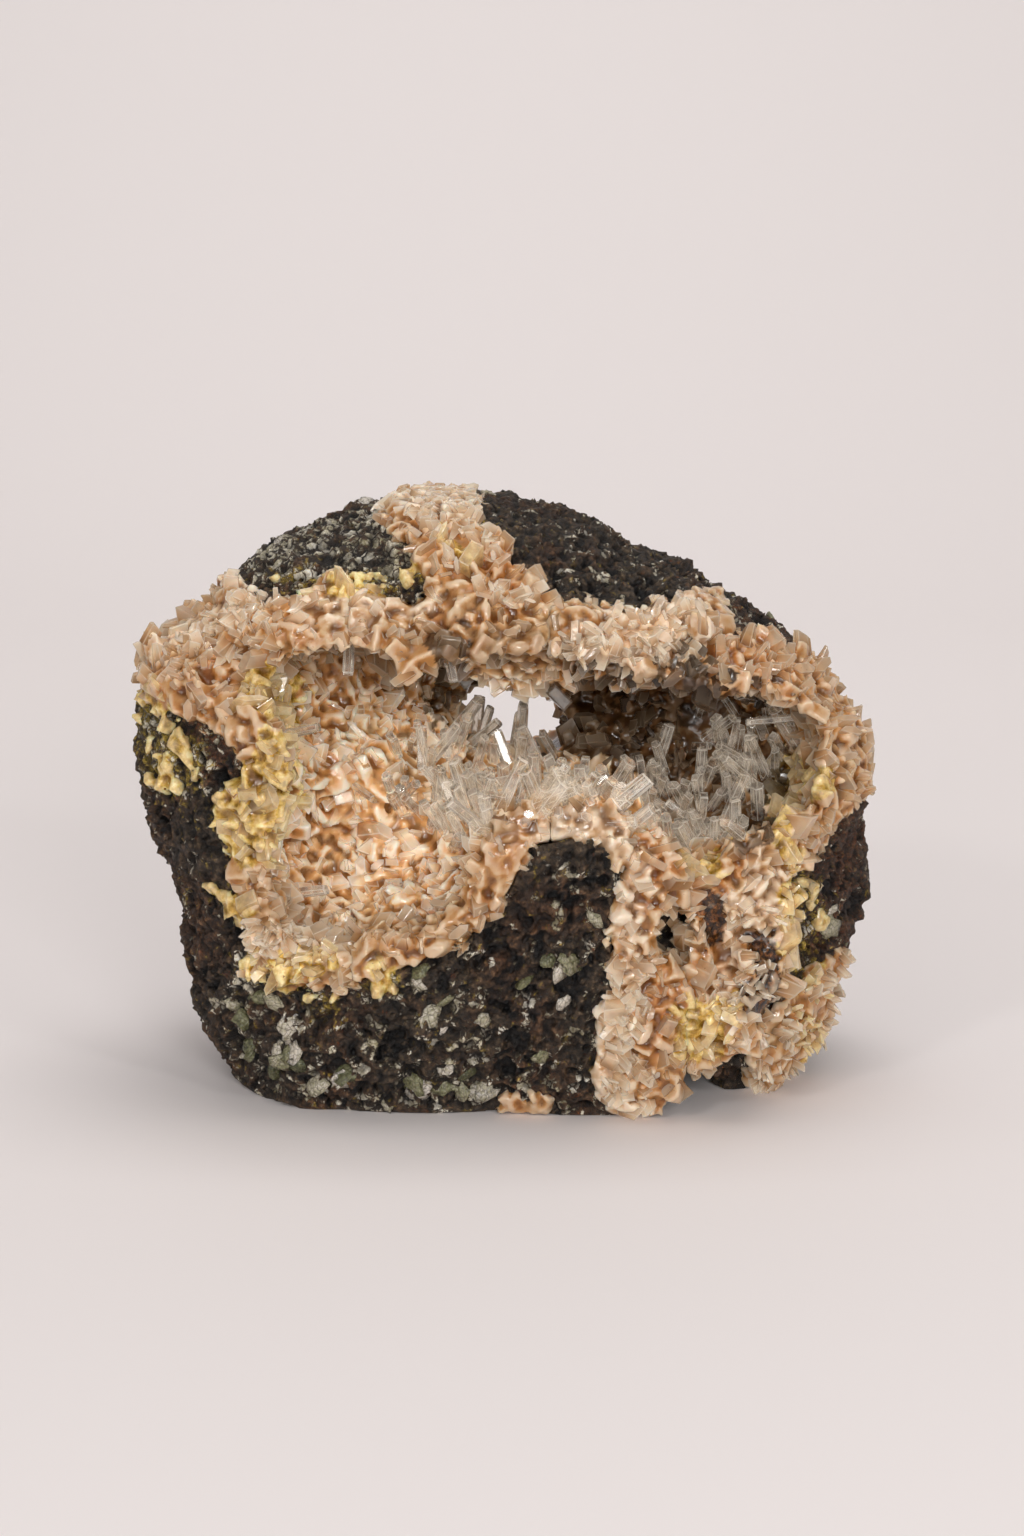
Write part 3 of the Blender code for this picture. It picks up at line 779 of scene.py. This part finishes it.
def sampled(points, triangles, count, rng, weights=None):
    """Random points on the triangles, by area, and the triangles that they lie in."""
    a, b, c = (points[triangles[:, i]] for i in range(3))
    areas = np.linalg.norm(np.cross(b - a, c - a), axis=1)
    if weights is not None:
        areas = areas * weights
    chosen = rng.choice(len(triangles), count, p=areas / areas.sum())
    u, v = rng.random(count), rng.random(count)
    over = u + v > 1
    u[over], v[over] = 1 - u[over], 1 - v[over]
    spots = a[chosen] + (b - a)[chosen] * u[:, None] + (c - a)[chosen] * v[:, None]
    return spots, chosen


def spaced(points, radii):
    """The indices of points that keep their distance from those before them."""
    cell = radii.max()
    grid = {}
    kept = []
    for index, (point, radius) in enumerate(zip(points, radii)):
        key = tuple((point // cell).astype(int))
        near = (
            other
            for dx in (-1, 0, 1)
            for dy in (-1, 0, 1)
            for dz in (-1, 0, 1)
            for other in grid.get((key[0] + dx, key[1] + dy, key[2] + dz), ())
        )
        if all(np.sum((points[other] - point) ** 2) > (radius * 0.5 + radii[other] * 0.5) ** 2 for other in near):
            grid.setdefault(key, []).append(index)
            kept.append(index)
    return np.array(kept, int)


def frames_on(normals, lean, rng):
    """Random turns whose Z axes lean away from the normals: one 3 by 3 matrix each, with the axes as columns."""
    z = normals / np.linalg.norm(normals, axis=1)[:, None] + rng.normal(0, 1, normals.shape) * lean
    z /= np.linalg.norm(z, axis=1)[:, None]
    x = np.cross(z, rng.normal(0, 1, normals.shape))
    x /= np.linalg.norm(x, axis=1)[:, None]
    return np.stack([x, np.cross(z, x), z], axis=2)


def leaning(spots, normals, shared, own, rng):
    """Directions that lean away from the normals, partly together with their neighbours."""
    groups = np.array([noise.noise_vector(Vector(spot) / (5.5 * MM)) for spot in spots])
    ways = normals / np.linalg.norm(normals, axis=1)[:, None] + shared * groups + own * rng.normal(0, 1, normals.shape)
    return ways / np.linalg.norm(ways, axis=1)[:, None]


def placed(forms, which, spots, turns, sizes):
    """Copies of the forms: points, triangles and, per point, its copy, its place in the copy and its edge value."""
    all_points, all_triangles, owners, locals_, edges = [], [], [], [], []
    start = 0
    for number, (points, triangles, edge) in enumerate(forms):
        rows = np.nonzero(which == number)[0]
        if not len(rows):
            continue
        scaled = points[None] * sizes[rows][:, None, :]
        moved = np.einsum("nij,nvj->nvi", turns[rows], scaled) + spots[rows][:, None, :]
        steps = start + np.arange(len(rows)) * len(points)
        all_points.append(moved.reshape(-1, 3))
        locals_.append(scaled.reshape(-1, 3))
        all_triangles.append((triangles[None] + steps[:, None, None]).reshape(-1, 3))
        owners.append(np.repeat(rows, len(points)))
        edges.append(np.tile(edge, len(rows)))
        start += len(rows) * len(points)
    return tuple(map(np.concatenate, (all_points, all_triangles, owners, locals_, edges)))


def pushed_in(forms, which, spots, turns, sizes):
    """The spots, moved so that their copies stay inside the CAD's box."""
    points, _, owners, _, _ = placed(forms, which, spots, turns, sizes)
    low, high = np.array(CAD_LOW) + 0.02 * MM, np.array(CAD_HIGH) - 0.02 * MM
    under, over = np.zeros((len(spots), 3)), np.zeros((len(spots), 3))
    np.maximum.at(under, owners, low - points)
    np.maximum.at(over, owners, points - high)
    return spots + under - over


# The basalt.


def make_basalt(rng):
    """The block, with its pits, lumps and flow ridges."""
    obj = fine_copy("basalt_matrix", "basalt_block", BASALT_VOXEL)
    points, _ = arrays_of(obj.data)
    crust = tree_of(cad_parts["heulandite_crust"])
    hidden = facing(crust, points, normals_of(obj.data), 2.5) | (points[:, 2] < 0.5 * MM)
    cells = np.where(hidden, HIDDEN_CELL, np.where(points[:, 1] > 30 * MM, BACK_CELL, 0.0))
    form = new_object("basalt_form", *thinned(obj, cells))
    points, triangles = arrays_of(form.data)
    normals = normals_of(form.data)
    free = ~(facing(crust, points, normals, 2.5) | (points[:, 2] < 0.3 * MM))
    bent = points + 1.6 * MM * np.array([noise.noise_vector(Vector(p) / (2.6 * MM)) for p in points])
    often = np.clip(0.6 + 1.1 * fractal(points, 16, 2, 6.0), 0, 1)
    big = np.clip(pits(bent, 7.4, 3.0, 0.5) * 2.2, 0, 1) * often
    small = np.clip(pits(bent + 0.1, 2.9, 1.15, 0.75) * 2.2, 0, 1) * often
    lumps = np.array([noise.voronoi(Vector(p) / (4.6 * MM))[0][0] for p in bent])
    lift = 1.1 * fractal(points, 13, 3) + 1.3 * (0.45 - lumps) + 1.4 * (ridged(bent, 3.6, 4.0) - 0.6)
    lift = lift + 0.9 * fractal(points, 1.7, 2, 9.0)
    height = lift - 2.2 * big - 1.1 * small
    foot = np.clip(points[:, 2] / (2 * MM), 0, 1)
    points = kept_in_box(points + normals * ((height - 0.3) * free * foot)[:, None] * MM, 0.05)
    filled = shares_of(picture_points(points), FILLED, 5, rng, PLAIN_FILLED)
    filled[turned_away(points, normals)] = PLAIN_FILLED
    piece = new_object("basalt_surface", points, triangles)
    values = {
        # crest: how far each point stands out, which the material turns into painted shade in creases and painted
        # highlight on crests.
        "crest": np.clip(0.5 + 0.7 * convexity(piece.data, 8), 0, 1),
        "hole": np.maximum(big, small),
        # hole: how deep each point lies in a pit, which the material turns into painted shade.
        "filled": filled,
        "rust": front_share(points, normals, RUST, 8, rng),
        "yellow": front_share(points, normals, YELLOW, 5, rng),
    }
    for key, value in values.items():
        piece.data.attributes.new(key, "FLOAT", "POINT").data.foreach_set("value", np.asarray(value, np.float32))
    bpy.data.objects.remove(obj)
    bpy.data.objects.remove(form)
    piece.data.shade_smooth()
    return finished(piece, basalt_material(), "basalt", "basalt_matrix")


def lump_forms(rng):
    """Shapes of one flat, uneven lump of vesicle filling."""
    forms = []
    for _ in range(6):
        bm = bmesh.new()
        bmesh.ops.create_icosphere(bm, subdivisions=2, radius=1.0)
        shift = Vector(rng.uniform(-9, 9, 3))
        for vert in bm.verts:
            vert.co *= 1 + 0.6 * noise.fractal(vert.co * 1.3 + shift, 1.0, 2.0, 3)
        points, triangles = arrays_from(bm)
        forms.append((points, triangles, np.zeros(len(points))))
    return forms


def make_amygdules(block, rng):
    """The larger fillings of the basalt's vesicles, which stand a little proud."""
    tree = tree_of(block)
    crust = tree_of(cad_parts["heulandite_crust"])
    found, ways, sizes = [], [], []
    for outline, count in FLAKES:
        spots, normals = seen_spots(tree, outline, count, rng)
        found.extend(spots)
        ways.extend(normals)
        sizes.extend(rng.uniform(1.2, 3.2, len(spots)) * MM)
    points, triangles = arrays_of(block.data)
    normals = normals_of(block.data)
    away = ((points[triangles[:, 0], 1] > -10 * MM) & (points[triangles[:, 0], 2] > 2 * MM)).astype(float)
    spots, chosen = sampled(points, triangles, 90, rng, away)
    found.extend(spots)
    ways.extend(normals[triangles[chosen, 0]])
    sizes.extend(rng.uniform(1.0, 2.6, len(spots)) * MM)
    spots, ways, sizes = map(np.array, (found, ways, sizes))
    keep = distances_to(crust, spots, 5 * MM) > 1.2 * MM
    spots, ways, sizes = spots[keep], ways[keep], sizes[keep]
    forms = lump_forms(rng)
    which = rng.integers(0, len(forms), len(spots))
    turns = frames_on(ways, 0.1, rng)
    scale = np.stack([sizes, sizes * rng.uniform(0.5, 1.0, len(spots)), np.minimum(sizes * 0.3, 0.7 * MM)], axis=1)
    spots = pushed_in(forms, which, spots, turns, scale)
    made, faces, owners, _, _ = placed(forms, which, spots, turns, scale)
    piece = new_object("vesicle_fillings", made, faces, tint=rng.random(len(spots))[owners])
    piece.data.shade_smooth()
    finished(piece, amygdule_material(), "heulandite")


# The crust.


def tablet_forms(rng, edged):
    """Shapes of one crystal, about 2 across and standing from z -1 to 1: blades and blocks with a blunt end.

    Each is its points, its triangles and, per point, 1 on a crystal edge and 0 inside a face. Only edged forms have
    points inside their faces."""
    forms = []
    for sides, narrow, slant in ((4, 0.5, 0.1), (4, 0.8, 0.4), (4, 0.25, -0.15), (6, 0.6, 0.25), (6, 0.35, -0.35)):
        bm = bmesh.new()
        turn = Matrix.Rotation(math.pi / sides, 4, "Z")
        bmesh.ops.create_cone(bm, cap_ends=True, segments=sides, radius1=1.15, radius2=1.02, depth=2, matrix=turn)
        for vert in bm.verts:
            vert.co.x += rng.uniform(-0.14, 0.14)
            vert.co.y += rng.uniform(-0.14, 0.14)
            if vert.co.z > 0:
                vert.co.y *= narrow
                vert.co.z += slant * vert.co.x - 0.2 * abs(vert.co.x) + rng.uniform(-0.08, 0.08)
        corners = len(bm.verts)
        if edged:
            shown = [face for face in bm.faces if any(vert.co.z > 0 for vert in face.verts)]
            bmesh.ops.inset_individual(bm, faces=shown, thickness=0.13, use_even_offset=True)
        bmesh.ops.triangulate(bm, faces=bm.faces[:])
        points, triangles = arrays_from(bm)
        forms.append((points, triangles, (np.arange(len(points)) < corners).astype(float)))
    return forms


def crust_ground(rng):
    """The crust's solid, finely meshed and lumpy, and which of its points show."""
    obj = fine_copy("heulandite_crust", "crust_form", CRUST_VOXEL)
    basalt = tree_of(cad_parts["basalt_matrix"])
    points, triangles = arrays_of(obj.data)
    normals = normals_of(obj.data)
    free = ~facing(basalt, points, normals, 2.0)
    away = np.clip((distances_to(basalt, points, 4 * MM) / MM - 0.8) / 2.5, 0, 1)
    lumps = np.array([noise.voronoi(Vector(p) / (4.0 * MM))[0][0] for p in points])
    lift = 1.1 * fractal(points, 9, 3, 3.0) + 1.0 * (0.45 - lumps) - 0.5
    lift[inside(picture_points(points), WINDOW)] = -1.2
    lift = np.where(lift < 0, lift * away, lift)
    points = kept_in_box(points + normals * (lift * free)[:, None] * MM, 0.25)
    ground = new_object("crust_ground", points, triangles)
    bpy.data.objects.remove(obj)
    return ground, free


def wall_crystals(ground, free, count, size_range, rng):
    """Where crystals stand on the crust, few of them where the calcite does: places, directions and widths."""
    points, triangles = arrays_of(ground.data)
    normals = normals_of(ground.data)
    shown = free[triangles].all(axis=1).astype(float)
    spots, chosen = sampled(points, triangles, count * 4, rng, shown)
    ways = normals[triangles[chosen, 0]]
    low, high = size_range
    patchy = np.clip(fractal(spots, 9, 2, 2.0) * 0.5 + 0.5 + rng.normal(0, 0.25, len(spots)), 0, 1)
    sprayed = front_share(spots, ways, list(SPRAYS.values()), 6, rng) > 0.5
    widths = low * (high / low) ** patchy * np.where(sprayed, 0.6, 1.0) * MM
    bare = front_share(spots, ways, BARE, 1.0, rng) > 0.5
    bare |= inside(picture_points(spots), WINDOW)
    bare |= sprayed & (rng.random(len(spots)) < 0.7)
    spots, ways, widths = spots[~bare], ways[~bare], widths[~bare]
    kept = spaced(spots, widths * 0.62)[:count]
    return spots[kept], ways[kept], widths[kept]


def rim_crystals(block, crust, rng):
    """Where crystals creep from the crust's rim onto the basalt."""
    points, triangles = arrays_of(block.data)
    normals = normals_of(block.data)
    shown = (normals[triangles[:, 0], 2] > -0.4).astype(float)
    spots, chosen = sampled(points, triangles, 60000, rng, shown)
    ways = normals[triangles[chosen, 0]]
    gap = distances_to(crust, spots, 6 * MM) / MM
    outward = ~facing(crust, spots, ways, 6)
    rim = outward & (gap < 0.9 + 1.6 * np.clip(fractal(spots, 4, 2, 1.0), -0.6, 1))
    spots, ways = spots[rim], ways[rim]
    widths = rng.uniform(1.4, 3.4, len(spots)) * MM
    kept = spaced(spots, widths * 0.7)
    return spots[kept], ways[kept], widths[kept]


def spilt_crystals(block, crust, outlines, per_area, size_range, ragged, rng):
    """Where crystals cover the basalt inside picture outlines."""
    tree = tree_of(block)
    found, ways = [], []
    for outline in outlines:
        area = np.ptp(outline, axis=0).prod()
        spots, normals = seen_spots(tree, outline, int(area / per_area), rng)
        found.extend(spots)
        ways.extend(normals)
    spots, ways = np.array(found), np.array(ways)
    if ragged:
        away = distances_to(crust, spots, 12 * MM) / MM
        keep = fractal(spots, 4.5, 3, 5.0) > -0.1 + 0.03 * away
        spots, ways = spots[keep], ways[keep]
    return spots, ways, rng.uniform(*size_range, len(spots)) * MM


def make_mass(ground, beds, rng, material):
    """The crust with its crystals grown together, in closed pieces that meet at CUTS."""
    basalt = tree_of(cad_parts["basalt_matrix"])
    spots, ways, widths = (np.concatenate([bed[i] for bed in beds]) for i in range(3))
    yellow = np.concatenate([np.full(len(bed[0]), bed[3]) for bed in beds])
    ways = leaning(spots, ways, 0.5, 0.25, rng)
    forms = tablet_forms(rng, False)
    which = rng.integers(0, len(forms), len(spots))
    turns = frames_on(ways, 0.0, rng)
    flat = rng.uniform(0.5, 1.0, len(spots))
    sizes = np.stack([widths, widths * flat, widths * rng.uniform(0.7, 1.1, len(spots))], axis=1) / 2
    spots = pushed_in(forms, which, spots, turns, sizes)
    patches = patch_attributes(spots, ways, rng)
    patches["yellow"] = np.where(yellow < 0, patches["yellow"], yellow)
    patches["tint"] = rng.random(len(spots))
    finder = KDTree(len(spots))
    for index, spot in enumerate(spots):
        finder.insert(spot, index)
    finder.balance()
    pieces = []
    borders = [-1.0] + [x * MM for x in CUTS] + [1.0]
    for number, (low, high) in enumerate(zip(borders, borders[1:])):
        rows = (spots[:, 0] >= low) & (spots[:, 0] < high)
        made, faces, _, _, _ = placed(forms, which[rows], spots[rows], turns[rows], sizes[rows])
        base, base_faces = slab_of(ground, low, high)
        both = new_object("crust_both", np.concatenate([base, made]), np.concatenate([base_faces, faces + len(base)]))
        modified(both, ("REMESH", {"mode": "VOXEL", "voxel_size": MASS_VOXEL * MM}))
        points, _ = arrays_of(both.data)
        hidden = facing(basalt, points, normals_of(both.data), 2.0)
        form = new_object("crust_form", *thinned(both, np.where(hidden, INNER_CELL, 0.0)))
        points, triangles = arrays_of(form.data)
        points = kept_in_box(points, 0.05)
        normals = normals_of(form.data)
        nearest = np.array([finder.find(point)[1] for point in points])
        values = {key: value[nearest] for key, value in patches.items()}
        values["bare"] = front_share(points, normals, BARE, 1.5, rng)
        # crest: how far each point stands out, which the material turns into painted shade in creases and painted
        # highlight on crests.
        values["crest"] = np.clip(0.5 + 1.3 * convexity(form.data, 8), 0, 1)
        piece = new_object("heulandite_mass_" + "abcd"[number], points, triangles, **values)
        piece.data.shade_smooth()
        finished(piece, material, "heulandite", "heulandite_crust")
        pieces.append(piece)
        bpy.data.objects.remove(both)
        bpy.data.objects.remove(form)
    bpy.data.objects.remove(ground)
    return pieces


def crystals_on(name, spots, ways, widths, long_range, rng, material, **fixed):
    """Heulandite crystals as one joined mesh, standing at the spots. They let lamps through."""
    forms = tablet_forms(rng, True)
    which = rng.integers(0, len(forms), len(spots))
    turns = frames_on(ways, 0.0, rng)
    sizes = np.stack(
        [widths, widths * rng.uniform(0.35, 0.9, len(spots)), widths * rng.uniform(*long_range, len(spots))], axis=1
    ) / 2
    spots = pushed_in(forms, which, spots, turns, sizes)
    made, faces, owners, local, edge = placed(forms, which, spots, turns, sizes)
    patches = patch_attributes(spots, ways, rng)
    patches["bare"] = np.zeros(len(spots))
    patches["tint"] = rng.random(len(spots))
    patches.update({key: np.full(len(spots), value) for key, value in fixed.items()})
    patches = {key: value[owners] for key, value in patches.items()}
    # crest: rises from a crystal's foot to its tip, which the material turns into painted shade at the foot and painted
    # highlight at the tip.
    patches["crest"] = np.clip(0.5 + 0.4 * local[:, 2] / sizes[owners, 2], 0, 1)
    piece = new_object(name, made, faces, edge=edge, **patches)
    piece.data.shade_smooth()
    piece.data.set_sharp_from_angle(angle=math.radians(20))
    piece.visible_shadow = False
    return finished(piece, material, "heulandite")


def make_clear_crystals(beds, rng, material):
    """The glassy crystals that stand out of the crust."""
    for name, bed, share in beds:
        chosen = rng.random(len(bed[0])) < share
        spots, ways, widths = (values[chosen] for values in bed[:3])
        ways = leaning(spots, ways, 0.7, 0.35, rng)
        crystals_on(name, spots + ways * widths[:, None] * 0.2, ways, widths, (0.8, 1.4), rng, material)


def make_clusters(tree, rng, material):
    """Longer, paler blades in the places where the crust has them."""
    spots, ways, widths = [], [], []
    for outline, count, sizes in CLUSTERS:
        found, normals = seen_spots(tree, outline, count, rng)
        spots.extend(found)
        ways.extend(normals)
        widths.extend(rng.uniform(*sizes, len(found)) * MM)
    spots, ways, widths = map(np.array, (spots, ways, widths))
    ways = leaning(spots, ways + np.array([0.0, -0.25, 0.0]), 0.6, 0.35, rng)
    spots = spots + ways * widths[:, None] * 0.4
    crystals_on("heulandite_blades", spots, ways, widths, (1.2, 1.9), rng, material, white=1.0)


# The calcite.


def prism_forms(rng):
    """Shapes of one clear prism, about 2 across and from z -1 to 1: points, triangles and, per point, 1 on an edge."""
    forms = []
    for sides, slant in ((4, 0.0), (6, 0.1), (6, -0.15), (4, 0.12), (8, 0.05)):
        bm = bmesh.new()
        turn = Matrix.Rotation(math.pi / sides, 4, "Z")
        bmesh.ops.create_cone(bm, cap_ends=True, segments=sides, radius1=1.1, radius2=1.02, depth=2, matrix=turn)
        for vert in bm.verts:
            vert.co.x *= rng.uniform(0.92, 1.08)
            vert.co.y *= rng.uniform(0.92, 1.08)
            if vert.co.z > 0:
                vert.co.z += slant * vert.co.x * 0.3
        bmesh.ops.bevel(bm, geom=bm.edges[:], offset=0.1, segments=2, affect="EDGES", clamp_overlap=True)
        bm.verts.ensure_lookup_table()
        edge = np.array([float(max(face.calc_area() for face in vert.link_faces) < 0.5) for vert in bm.verts])
        bmesh.ops.triangulate(bm, faces=bm.faces[:])
        forms.append((*arrays_from(bm), edge))
    return forms


def clear_piece(name, points, triangles, local, edge, material, nodes):
    """A piece of clear calcite, which lets lamps through."""
    piece = new_object(name, points, triangles, local=local, edge=edge)
    piece.data.shade_smooth()
    piece.data.set_sharp_from_angle(angle=math.radians(50))
    piece.visible_shadow = False
    return finished(piece, material, "calcite", *nodes)


def prisms_piece(name, spots, ways, lengths, widths, lean, rng, material, nodes):
    """Clear prisms as one joined mesh, each with its foot in the ground."""
    forms = prism_forms(rng)
    which = rng.integers(0, len(forms), len(spots))
    turns = frames_on(ways, lean, rng)
    sizes = np.stack([widths, widths * rng.uniform(0.65, 0.95, len(spots)), lengths], axis=1) / 2
    spots = spots + turns[:, :, 2] * (lengths * 0.42)[:, None]
    spots = pushed_in(forms, which, spots, turns, sizes)
    made, faces, _, local, edge = placed(forms, which, spots, turns, sizes)
    return clear_piece(name, made, faces, local, edge, material, nodes)


def make_calcite(tree, rng, material):
    """The two sprays and the single prisms."""
    for name, outline in SPRAYS.items():
        count = 95 if "floor" in name else 55
        spots, ways = map(list, seen_spots(tree, outline, count, rng))
        low, high = (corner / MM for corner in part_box(name))
        for _ in range(count // 3):
            at = Vector((rng.uniform(low.x + 8, high.x - 8), rng.uniform(low.y + 8, high.y - 4), 76.0)) * MM
            hit = tree.ray_cast(at, Vector((0, 0, -1)))
            if hit[0] is not None and hit[0].z > (low.z - 2) * MM:
                spots.append(hit[0])
                ways.append(hit[1])
        spots, ways = np.array(spots), np.array(ways)
        ways = leaning(spots, ways * 0.6 + np.array([0.0, -0.3, 0.65]), 0.45, 0.3, rng)
        lengths = rng.uniform(7.0, 12.0, len(spots)) * MM
        widths = rng.uniform(2.0, 3.4, len(spots)) * MM
        prisms_piece(name + "_prisms", spots, ways, lengths, widths, 0.0, rng, material, [name])
    for name in sorted(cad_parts):
        if not name.startswith("calcite_prism_"):
            continue
        points, _ = arrays_of(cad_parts[name].data)
        middle = points.mean(axis=0)
        axis = np.linalg.svd(points - middle, full_matrices=False)[2][0]
        along = (points - middle) @ axis
        length = along.max() - along.min()
        width = 2 * np.linalg.norm(points - middle - np.outer(along, axis), axis=1).mean() / math.sqrt(2)
        turn = frames_on(axis[None], 0.0, rng)
        size = np.array([[width, width * 0.85, length]]) / 2
        made, faces, _, local, edge = placed(prism_forms(rng), np.array([1]), middle[None], turn, size)
        clear_piece(name + "_clear", made, faces, local, edge, material, [name])


# The stage.


def make_stage():
    """A plain pale floor that curves up into a backdrop, soft lights and the camera."""
    bm = bmesh.new()
    steps = 32
    rows = []
    for x in (-3.0, 3.0):
        row = [bm.verts.new((x, -2.5, 0.0)), bm.verts.new((x, 0.6, 0.0))]
        for step in range(1, steps + 1):
            angle = math.pi / 2 * step / steps
            row.append(bm.verts.new((x, 0.6 + 1.2 * math.sin(angle), 1.2 - 1.2 * math.cos(angle))))
        row.append(bm.verts.new((x, 1.8, 3.0)))
        rows.append(row)
    for a, b, c, d in zip(rows[0], rows[1], rows[1][1:], rows[0][1:]):
        bm.faces.new((a, b, c, d))
    mesh = bpy.data.meshes.new("floor")
    bm.to_mesh(mesh)
    bm.free()
    mesh.shade_smooth()
    floor = linked("floor", mesh)
    s = Shader("floor")
    mesh.materials.append(s.set(Base_Color=rgba(238, 230, 228), Roughness=0.7))
    for name, place, aim, size, watts in (
        ("key", (0.22, -1.15, 0.38), (0, 0, 0.06), 0.28, 5.8),
        ("fill", (-0.45, -1.2, 0.22), (0, 0, 0.06), 0.6, 3.7),
        ("spark_left", (-0.5, -0.9, 0.65), (0, 0, 0.06), 0.08, 1.4),
        ("spark_right", (0.6, -0.85, 0.5), (0, 0, 0.06), 0.08, 1.2),
        ("top", (0.1, 0.0, 0.95), (0, 0, 0.06), 0.5, 2.1),
        ("backdrop", (0.0, 0.5, 1.3), (0, 1.8, 0.4), 1.0, 8.5),
    ):
        light = bpy.data.lights.new(name, "AREA")
        light.energy = watts
        light.size = size
        lamp = linked(name, light)
        lamp.location = place
        lamp.rotation_euler = (Vector(aim) - Vector(place)).to_track_quat("-Z", "Y").to_euler()
    world = bpy.data.worlds.new("studio")
    world.use_nodes = True
    world.node_tree.nodes["Background"].inputs["Color"].default_value = (1.0, 0.985, 0.97, 1.0)
    world.node_tree.nodes["Background"].inputs["Strength"].default_value = 0.3
    bpy.context.scene.world = world
    bpy.context.scene.view_settings.view_transform = "Standard"
    camera = bpy.data.cameras.new("camera")
    camera.lens, camera.sensor_width, camera.clip_start = LENS, SENSOR, 0.01
    obj = linked("camera", camera)
    start, way = camera_ray(PICTURE[0] / 2, PICTURE[1] / 2)
    obj.location = start
    obj.rotation_euler = way.to_track_quat("-Z", "Y").to_euler()
    bpy.context.scene.camera = obj


def main():
    rng = np.random.default_rng(SEED)
    # Without it, noise_vector starts from the clock.
    noise.seed_set(SEED)
    make_stage()
    waxy = heulandite_material("heulandite_mass", 1.0, 2.4, 0.0, 0.0)
    clear = heulandite_material("heulandite_crystal", 0.5, 1.6, 0.45, 0.4)
    block = make_basalt(rng)
    crust = tree_of(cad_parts["heulandite_crust"])
    ground, free = crust_ground(rng)
    large = wall_crystals(ground, free, 2600, (2.8, 6.2), rng) + (-1.0,)
    small = wall_crystals(ground, free, 4800, (1.4, 3.0), rng) + (-1.0,)
    rim = rim_crystals(block, crust, rng) + (-1.0,)
    foot = spilt_crystals(block, crust, COVERED, 24, (2.2, 4.8), False, rng) + (0.0,)
    yellow = spilt_crystals(block, crust, YELLOW, 60, (1.8, 4.5), True, rng) + (1.0,)
    mass = joined_tree(make_mass(ground, [large, small, rim, foot, yellow], rng, waxy))
    beds = [
        ("heulandite_tablets", large, 0.75),
        ("heulandite_small_tablets", small, 0.24),
        ("heulandite_rim_tablets", rim, 0.6),
    ]
    make_clear_crystals(beds, rng, clear)
    make_clusters(mass, rng, clear)
    make_calcite(mass, rng, calcite_material())
    make_amygdules(block, rng)


main()
